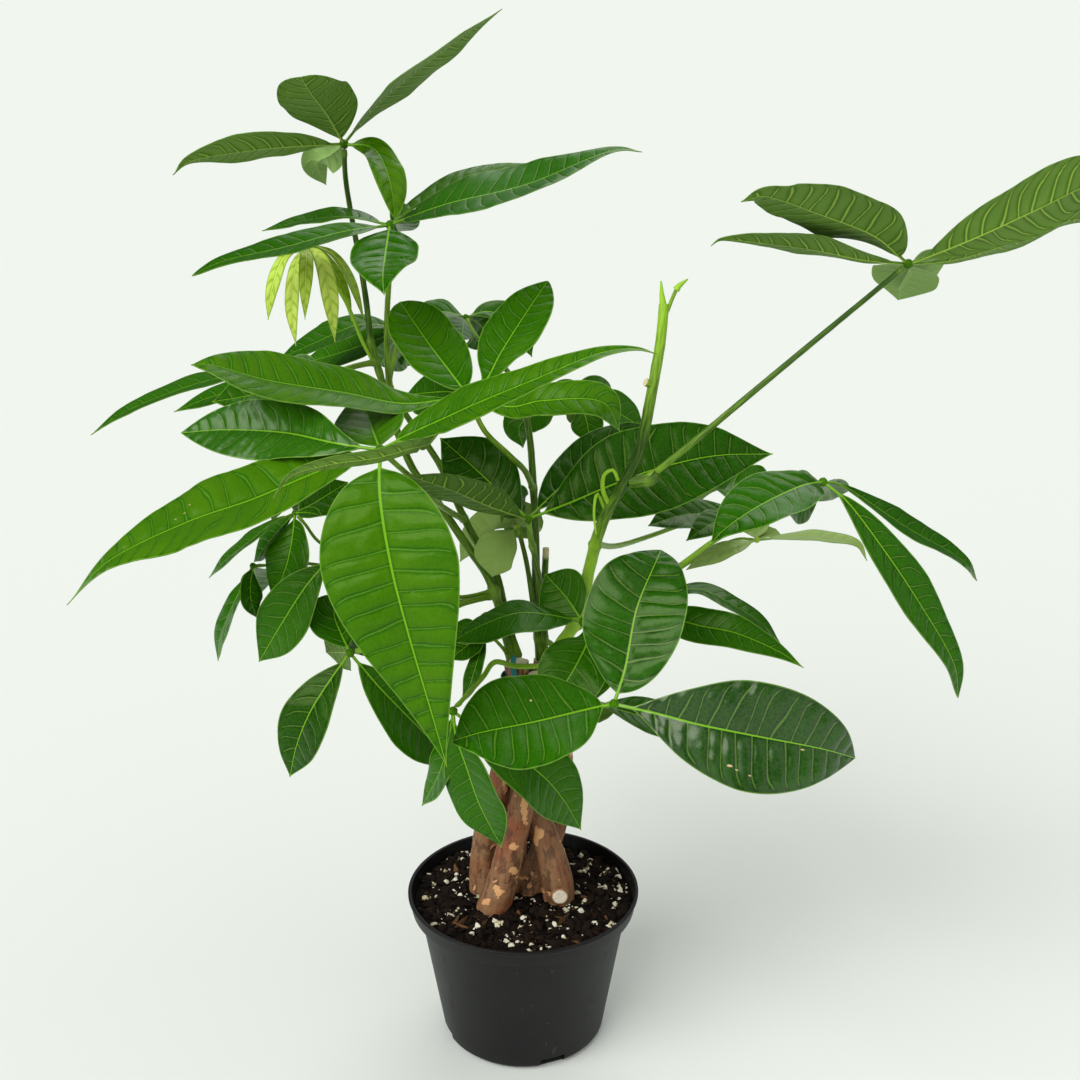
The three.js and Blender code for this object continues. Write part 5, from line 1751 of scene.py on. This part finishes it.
@dataclass
class StrandMaker:
    """One strand of the trunk, with cracked and peeling bark and a sawn top."""

    name: str
    levels: Levels
    buried: float = 62
    upright: float = 12
    sides: int = 44
    pitch: float = 1.9
    scar_middle: Spot = (26, -10.5, 112)
    scar_reach: tuple[float, float] = (-6, 8.4)
    scar_sides: int = 28

    def _radius(self, height: float) -> float:
        """Finds the strand's radius.

        Args:
            height: The height in mm.

        Returns:
            The radius there, in mm.
        """
        levels = self.levels
        for below, above in zip(levels, levels[1:]):
            if height <= above[2]:
                share = (height - below[2]) / (above[2] - below[2])
                return blend(max(0.0, share), below[3], above[3])
        return levels[-1][3]

    def _bark(self, place: Vector, out: Vector, seed: float) -> float:
        """Finds the height of the bark: cords, cracks and wrinkles.

        Args:
            place: A place in mm.
            out: The direction from the strand's middle to it.
            seed: The strand's own seed.

        Returns:
            The height in mm.
        """
        drift = Vector((place.x, place.y, place.z * 0.22 + seed))
        cords = ripple(drift, 9, 2)
        cracks = abs(ripple(drift + Vector((0, 0, 31)), 5, 3))
        rings = ripple(Vector((out.x * 3, out.y * 3, place.z + seed)), 4.5, 3)
        return 0.7 * cords - 0.55 * (1 - smooth(cracks, 0.0, 0.22)) + 0.28 * rings

    def _peel(self, place: Vector, out: Vector) -> float:
        """Finds how far the bark has peeled.

        Args:
            place: A place in mm.
            out: The direction from the strand's middle to it.

        Returns:
            A number of 0 to 1.
        """
        ragged = 0.35 * ripple(place, 3.4) + 0.2 * ripple(place, 1.3)
        spread = ripple(place + Vector((40, 7, 0)), 13, 2)
        found = smooth(spread + ragged * 0.6, 0.5, 0.57) * 0.7
        if (Vector(VIEW.eye) - place).normalized().dot(out) < 0.1:
            return found
        across, down = VIEW.picture(place)
        for rub in RUBS:
            off = math.hypot((across - rub.across) / rub.wide, (down - rub.down) / rub.tall)
            found = max(found, rub.pale * (1 - smooth(off + ragged, 0.8, 1.0)))
        return found

    def build(self, material: bpy.types.Material) -> None:
        """Builds the strand in place of its solid.

        Args:
            material: The bark's finish.
        """
        form = Form()
        x, y, z, _ = self.levels[0]
        foot = [Vector((x, y, self.buried)), Vector((x, y, z - self.upright))]
        course = Course([*foot, *(Vector(level[:3]) for level in self.levels)])
        rows = end_rows(round(course.length / self.pitch))
        seed = 100.0 * random.Random(self.name).random()
        top = self.levels[-1][2]

        def place(step: Step) -> Vector:
            """Finds a corner of the strand.

            Args:
                step: The corner.

            Returns:
                Its place in mm.
            """
            size = self._radius(step.centre.z)
            bark = self._bark(step.centre + step.out * size, step.out, seed) * smooth(step.centre.z, 92, 100)
            spot = step.centre + step.out * (size * step.girth + bark * step.girth)
            spot.z = min(spot.z, top - 0.15 * (1 - step.girth))
            return spot

        def marks(step: Step) -> Marks:
            """Finds what the finish reads.

            Args:
                step: A corner of the strand.

            Returns:
                Both attributes.
            """
            spot = step.centre + step.out * self._radius(step.centre.z)
            bark = smooth(self._bark(spot, step.out, seed), -0.7, 0.5)
            sawn = float(step.girth < 0.95 and step.share > 0.5)
            red = smooth(ripple(spot + Vector((0, 0, 90)), 30, 2), -0.2, 0.5)
            return (step.share * course.length, step.turn, bark), (self._peel(spot, step.out), sawn, red)

        form.tube(course, rows, self.sides, place, marks)
        if self.name == "strand_front_right":
            self._scar(form)
        piece = form.finish(f"{self.name}_bark", material)
        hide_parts(self.name)

    def _scar(self, form: Form) -> None:
        """Adds the pale round scar of a cut root, with a rolled rim of bark.

        Args:
            form: The piece it goes into.
        """
        middle, way = Vector(self.scar_middle), Vector((0, -1, 0))
        course = Course([middle + way * reach for reach in self.scar_reach])

        def place(step: Step) -> Vector:
            """Returns the place of a corner of the scar."""
            ragged = 1 + 0.06 * ripple(step.out * 3 + Vector((step.row, 0, 0)), 1.5)
            return step.centre + step.out * step.girth * ragged

        def marks(step: Step) -> Marks:
            """Returns what the finish reads at a corner of the scar."""
            return (step.row, step.turn, 0.6), (0.2 if step.row > 4 else 0.0, float(step.row > 5), 0.3)

        form.tube(course, SCAR_OUTLINE, self.scar_sides, place, marks)


# The tape's section, as shares of its thickness and its height
TAPE_OUTLINE = (
    (0.0, 0.12), (0.35, 0.0), (0.65, 0.0), (1.0, 0.12), (1.0, 0.88), (0.65, 1.0), (0.35, 1.0), (0.0, 0.88),
)


@dataclass
class TieMaker:
    """The stretch tie round the strand tops, and its loose end."""

    height: float = 264
    tall: float = 6
    thick: float = 1.2
    gap: float = 0.35
    spare: float = 0.6
    steps: int = 120
    end: tuple[Spot, ...] = ((515, 676, 13), (513, 667, 15), (514, 656, 14))
    end_steps: int = 10
    end_sides: int = 12
    end_thick: float = 0.45

    def build(self, material: bpy.types.Material) -> None:
        """Builds the tie in place of its solid.

        Args:
            material: The tape's finish.
        """
        tops = [levels[-2] for levels in STRANDS.values()]
        middle = sum((Vector((x, y)) for x, y, _, _ in tops), Vector((0, 0))) / len(tops)
        bends = []
        for x, y, _, radius in tops:
            out = Vector((x, y)) - middle
            reach = out.length + radius + self.gap + self.thick + self.spare
            bends.append(middle + out.normalized() * reach)
        bends.sort(key=lambda bend: math.atan2(bend.y - middle.y, bend.x - middle.x))
        ring = [bend.to_3d() for bend in (*bends[-3:], *bends, *bends[:4])]
        course = Course(ring)
        spans = len(ring) - 1
        first, last = 3 / spans, (3 + len(bends)) / spans
        form = Form()
        corners = len(TAPE_OUTLINE)

        def place(step: Step) -> Vector:
            """Finds a corner of the tape.

            Args:
                step: The corner.

            Returns:
                Its place in mm.
            """
            out = course.spot(blend(step.share, first, last))
            deep, up = TAPE_OUTLINE[round(step.turn * corners) % corners]
            away = (out.to_2d() - middle).normalized() * self.thick * (1 - deep)
            ripples = 0.12 * math.sin(step.row * 1.3)
            return Vector((out.x - away.x, out.y - away.y, self.height + self.tall * up + ripples))

        def marks(step: Step) -> Marks:
            """Returns what the finish reads at a corner of the tape."""
            up = TAPE_OUTLINE[round(step.turn * corners) % corners][1]
            return (step.share * course.length, up, 0), (0, 0, 0)

        rows = [(i / self.steps, 1.0) for i in range(self.steps + 1)]
        form.tube(course, rows, corners, place, marks)
        self._end(form)
        piece = form.finish("tie_tape", material)
        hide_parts("tie")

    def _end(self, form: Form) -> None:
        """Adds the tape's loose end, which stands up against the stump.

        Args:
            form: The piece it goes into.
        """
        course = Course([VIEW.place(spot) for spot in self.end])

        def place(step: Step) -> Vector:
            """Finds a corner of the end, which is flat and oval.

            Args:
                step: The corner.

            Returns:
                Its place in mm.
            """
            wide, deep = (2.1 - 0.5 * step.share) * step.girth, self.end_thick * step.girth
            turn = FULL_TURN * step.turn
            return step.centre + Vector((wide * math.cos(turn), deep * math.sin(turn), 0))

        def marks(step: Step) -> Marks:
            """Returns what the finish reads at a corner of the end."""
            return (step.row, step.turn, 0), (0, 0, 0)

        form.tube(course, end_rows(self.end_steps), self.end_sides, place, marks)


# Pot and soil


@dataclass
class PotMaker:
    """The nursery pot: a spun wall with a rolled rim, a skirt band and four drain slots."""

    height: float = 110
    rim: float = 82.5
    skirt_foot: float = 79.7
    skirt: float = 12
    body_top: float = 74.4
    body_foot: float = 58.4
    foot_round: float = 4
    wall: float = 1.8
    floor: float = 2.2
    sides: int = 144
    slots: int = 4
    slot_wide: float = 18
    slot_tall: float = 8
    first_slot: float = -69
    soft: float = 0.55

    def _profile(self) -> list[tuple[float, float]]:
        """Works out the wall's outline, from the middle of the foot round to that of the floor.

        Returns:
            Radius and height at each corner, in mm.
        """
        ledge = self.height - self.skirt
        above = self.slot_tall + 2.5
        slope = (above - self.foot_round) / (ledge - self.foot_round)
        return [
            (0, 0), (self.body_foot - self.foot_round, 0), (self.body_foot, self.foot_round),
            (blend(slope, self.body_foot, self.body_top), above), (self.body_top, ledge),
            (self.skirt_foot, ledge), (self.rim - 0.8, self.height - 2.6), (self.rim, self.height - 2.0),
            (self.rim, self.height), (self.rim - 2.6, self.height),
            (self.skirt_foot - self.wall, ledge + self.wall),
            (self.body_top - self.wall, ledge - self.wall),
            (self.body_foot - self.wall, self.foot_round + self.floor),
            (self.body_foot - self.wall - self.foot_round * 0.6, self.floor), (0, self.floor),
        ]

    def _cutter(self) -> bpy.types.Object:
        """Makes one block for each drain slot.

        Returns:
            The object that holds them.
        """
        mesh = bmesh.new()
        for i in range(self.slots):
            turn = math.radians(self.first_slot + 360 * i / self.slots)
            made = bmesh.ops.create_cube(mesh, size=1)["verts"]
            bmesh.ops.scale(mesh, verts=made, vec=(4 * self.wall, self.slot_wide, 2 * self.slot_tall))
            bmesh.ops.translate(mesh, verts=made, vec=(self.body_foot - self.wall, 0, 0))
            bmesh.ops.rotate(mesh, verts=made, cent=(0, 0, 0), matrix=Matrix.Rotation(turn, 3, "Z"))
        bmesh.ops.scale(mesh, verts=mesh.verts[:], vec=(MM, MM, MM))
        return add_object("slot_blocks", to_mesh("slot_blocks", mesh))

    def build(self, material: bpy.types.Material) -> None:
        """Builds the pot in place of its solid.

        Args:
            material: The pot's finish.
        """
        form = Form()
        form.spun(self._profile(), self.sides, self.soft)
        piece = form.finish("pot_shell", material)
        cutter = self._cutter()
        cut = piece.modifiers.new("slots", "BOOLEAN")
        cut.operation = "DIFFERENCE"
        cut.solver = "EXACT"
        cut.object = cutter
        graph = bpy.context.evaluated_depsgraph_get()
        shaped = bpy.data.meshes.new_from_object(piece.evaluated_get(graph))
        piece.modifiers.clear()
        piece.data = shaped
        blocks = cutter.data
        bpy.data.objects.remove(cutter)
        bpy.data.meshes.remove(blocks)
        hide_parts("pot")


@dataclass
class SoilMaker:
    """The soil and what lies loose on it: clods, bark chips and white grains.

    tip is how far a grain is tipped, in radians, and huddle how far it lies from its neighbour.
    """

    edge: float = 101.5
    swell: float = 1.5
    brim: float = 77.55
    neck: float = 72.0
    foot: float = 56.0
    base: float = 2.7
    rings: int = 40
    sides: int = 132
    tip: float = 0.25
    huddle: float = 3.4

    def top(self, x: float, y: float) -> float:
        """Finds the height of the soil.

        Args:
            x: The place in mm, to the right.
            y: The place in mm, to the back.

        Returns:
            The height in mm.
        """
        out = math.hypot(x, y)
        rise = self.edge + self.swell * smooth(self.brim - out, 0, 30)
        lumps = 1.5 * ripple(Vector((x, y, 0)), 15, 3) + 1.0 * ripple(Vector((x, y, 9)), 4.0, 3)
        return rise + lumps * smooth(self.brim - out, -2, 3)

    def build(self, material: bpy.types.Material) -> None:
        """Builds the soil in place of its solid.

        Args:
            material: The soil's finish.
        """
        form = Form()
        below = [(0, self.base), (self.foot - 3, self.base), (self.foot, self.base + 3.5)]
        below += [(self.neck, self.edge - 7), (self.neck, self.edge - 1.2), (self.brim, self.edge - 1.2)]
        surface = [(self.brim * (1 - (i / self.rings)), self.edge) for i in range(self.rings + 1)]
        form.spun([*below, *surface], self.sides)
        for vert in form.mesh.verts:
            if vert.co.z > self.edge - 0.5:
                vert.co.z = self.top(vert.co.x, vert.co.y)
        piece = form.finish("soil_bed", material)
        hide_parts("soil")

    def _clear(self, x: float, y: float, reach: float) -> bool:
        """Tells whether a grain stays off the trunk and the pot's wall.

        Args:
            x: The grain's place in mm, to the right.
            y: Its place in mm, to the back.
            reach: Half the grain's length in mm.

        Returns:
            True where it does.
        """
        if math.hypot(x, y) > self.brim - 1.3 * reach - 0.3:
            return False
        feet = [levels[0] for levels in STRANDS.values()]
        return all(math.hypot(x - foot[0], y - foot[1]) > foot[3] + 0.4 * reach for foot in feet)

    def _lump(self) -> bpy.types.Mesh:
        """Makes the rounded lump that every grain is shaped from.

        Returns:
            Its mesh.
        """
        mesh = bmesh.new()
        bmesh.ops.create_cube(mesh, size=1)
        bmesh.ops.subdivide_edges(mesh, edges=mesh.edges[:], cuts=1, use_grid_fill=True, smooth=1)
        return to_mesh("lump", mesh)

    def scatter(
        self,
        name: str,
        material: bpy.types.Material,
        count: int,
        sizes: tuple[float, float],
        stretch: tuple[float, float],
        crowd: float,
        sunk: float = 0.1,
        tint: float = 1.0,
    ) -> None:
        """Lays grains of one kind on the soil.

        Args:
            name: The piece's name.
            material: The grains' finish.
            count: How many there are.
            sizes: The least and most size of a grain in mm.
            stretch: The least and most length of a grain for its width.
            crowd: The share of them that lie close by the one before.
            sunk: How deep they lie, as a share of their size.
            tint: The most of the finish's end colour.
        """
        draw = random.Random(name)
        form = Form()
        lump = self._lump()
        corners, sides = len(lump.vertices), len(lump.polygons)
        x = y = 0.0
        laid = 0
        while laid < count:
            size = blend(draw.random() ** 2.2, *sizes)
            long = draw.uniform(*stretch)
            if laid and draw.random() < crowd:
                x, y = x + draw.gauss(0, self.huddle), y + draw.gauss(0, self.huddle)
            else:
                reach, turn = self.brim * math.sqrt(draw.random()), draw.uniform(0, FULL_TURN)
                x, y = reach * math.cos(turn), reach * math.sin(turn)
            if not self._clear(x, y, size * max(1.0, long) / 2):
                continue
            laid += 1
            form.mesh.from_mesh(lump)
            form.mesh.verts.ensure_lookup_table()
            form.mesh.faces.ensure_lookup_table()
            turned = Matrix.Rotation(draw.uniform(0, FULL_TURN), 3, "Z")
            tipped = Matrix.Rotation(draw.gauss(0, self.tip), 3, "X")
            tipped = tipped @ Matrix.Rotation(draw.gauss(0, self.tip), 3, "Y")
            bed = Vector((x, y, self.top(x, y) + size * (0.38 - sunk)))
            lumpy = draw.uniform(0, 90)
            for vert in form.mesh.verts[-corners:]:
                ragged = 1 + 0.3 * ripple(vert.co * 2 + Vector((lumpy, 0, 0)), 1.1, 2)
                shape = Vector((vert.co.x * long, vert.co.y, vert.co.z * 0.8)) * (size * ragged)
                vert.co = bed + turned @ tipped @ shape
            shade = draw.random() * tint
            for face in form.mesh.faces[-sides:]:
                form.mark(face, lambda _: ((0, 0, 0), (shade, 0, 0)))
        bpy.data.meshes.remove(lump)
        piece = form.finish(name, material)


# Studio


@dataclass(frozen=True)
class Lamp:
    """A soft directional light.

    soft is how wide it is, height how high over the horizon it stands and turn how far round
    from the front it stands, to the right, all in degrees.
    """

    name: str
    strength: float
    soft: float
    height: float
    turn: float

    def level(self) -> float:
        """Returns how brightly it lights the floor."""
        return self.strength * math.sin(math.radians(self.height)) / math.pi

    def build(self) -> None:
        """Adds the light to the scene."""
        lamp = bpy.data.lights.new(self.name, "SUN")
        lamp.energy = self.strength
        lamp.angle = math.radians(self.soft)
        light = add_object(self.name, lamp)
        light.rotation_euler = (math.radians(90 - self.height), 0, math.radians(self.turn))


@dataclass
class Studio:
    """The pale floor, the soft lights and the camera.

    glow is the strength of the even light all round, and dim how much less of it is mirrored.
    """

    tone: Colour = ink(241, 246, 239)
    size: float = 60.0
    glow: float = 0.26
    dim: float = 0.8
    lamps: tuple[Lamp, ...] = (
        Lamp("key", 3.1, 54, 36, -42),
        Lamp("fill", 0.8, 80, 38, 55),
        Lamp("back", 1.0, 50, 50, 165),
    )

    def floor(self) -> None:
        """Lays the floor, in the tone that looks like the backdrop under these lights."""
        level = self.glow + sum(lamp.level() for lamp in self.lamps)
        red, green, blue, _ = self.tone
        material = FloorFinish((red / level, green / level, blue / level, 1.0)).build()
        mesh = bmesh.new()
        bmesh.ops.create_grid(mesh, x_segments=8, y_segments=8, size=self.size)
        data = to_mesh("floor", mesh)
        data.materials.append(material)
        floor = add_object("floor", data)

    def sky(self) -> None:
        """Surrounds the plant with even light, and shows the backdrop's tone behind it."""
        world = bpy.data.worlds.new("studio")
        world.use_nodes = True
        tree = Tree(world.node_tree)
        seen = tree.node("ShaderNodeLightPath").outputs
        strength = self.glow - Value(tree, seen["Is Glossy Ray"]) * (self.glow * self.dim)
        glow = tree.node("ShaderNodeBackground", inputs={0: (1, 1, 1, 1), 1: strength}).outputs[0]
        shown = tree.node("ShaderNodeBackground", inputs={0: self.tone}).outputs[0]
        both = tree.node("ShaderNodeMixShader", inputs={0: seen["Is Camera Ray"], 1: glow, 2: shown})
        tree.node("ShaderNodeOutputWorld", inputs={0: both.outputs[0]})
        bpy.context.scene.world = world

    def camera(self) -> None:
        """Sets the camera at the viewpoint that the plant is laid out from."""
        data = bpy.data.cameras.new("camera")
        data.sensor_width = VIEW.sensor
        data.lens = VIEW.focal / (2 * VIEW.middle) * VIEW.sensor
        data.clip_end = 300
        camera = add_object("camera", data)
        camera.location = Vector(VIEW.eye) * MM
        camera.rotation_euler = (math.radians(90 - VIEW.pitch), 0, 0)
        bpy.context.scene.camera = camera

    def build(self) -> None:
        """Sets up the floor, the lights and the camera."""
        self.floor()
        self.sky()
        for lamp in self.lamps:
            lamp.build()
        self.camera()
        bpy.context.scene.view_settings.view_transform = "Standard"


def build_plant() -> None:
    """Builds and dresses every piece of the plant, in order."""
    PotMaker().build(PotFinish().build())
    soil = SoilMaker()
    soil.build(SoilFinish().build())
    clod = GrainFinish("peat_clod", ink(9, 6, 4), ink(34, 22, 14))
    chip = GrainFinish("bark_chip", ink(30, 20, 13), ink(104, 74, 46))
    white = GrainFinish("perlite", ink(226, 222, 204), ink(178, 168, 124), 0.9, 0.3)
    soil.scatter("soil_clods", clod.build(), 1700, (0.8, 2.9), (0.9, 2.2), 0.3, 0.15)
    soil.scatter("soil_chips", chip.build(), 130, (0.5, 1.6), (2.2, 6), 0.2, 0.1)
    soil.scatter("soil_perlite", white.build(), 640, (0.5, 2.3), (0.9, 1.3), 0.78, 0.0, 0.9)
    bark = BarkFinish().build()
    for name, levels in STRANDS.items():
        StrandMaker(name, levels).build(bark)
    TieMaker().build(TieFinish().build())
    stem = StemFinish().build()
    tones = {"shoot_left": Tone.LEFT, "shoot_centre": Tone.CENTRE, "shoot_right": Tone.RIGHT}
    for shoot in SHOOTS:
        maker = ShootMaker(shoot, tones[shoot.name].value)
        maker.build(STRANDS[shoot.seat][-1][2], LEAVES, stem)
    leaf = LeafFinish().build()
    young = LeafFinish(
        name="young_leaf", deep=ink(84, 122, 16), middle=ink(146, 182, 36), bright=ink(210, 230, 104),
        rib=ink(206, 222, 112), vein=ink(190, 212, 92), under=ink(166, 196, 66),
        under_deep=ink(104, 144, 18), under_rib=ink(210, 224, 130), pale=ink(104, 142, 80),
    ).build()
    fleck = GrainFinish("dry_fleck", ink(206, 190, 140), ink(150, 120, 70)).build()
    for grown in LEAVES:
        maker = LeafMaker(grown)
        maker.build(young if grown.young else leaf)
        maker.flecks(fleck)


def main() -> None:
    """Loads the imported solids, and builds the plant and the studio."""
    logging.basicConfig(level=logging.INFO, format="%(message)s")
    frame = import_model()
    LOG.info("%d packed solids", len(frame["nodes"]))
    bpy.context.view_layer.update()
    build_plant()
    Studio().build()


if __name__ == "__main__":
    main()
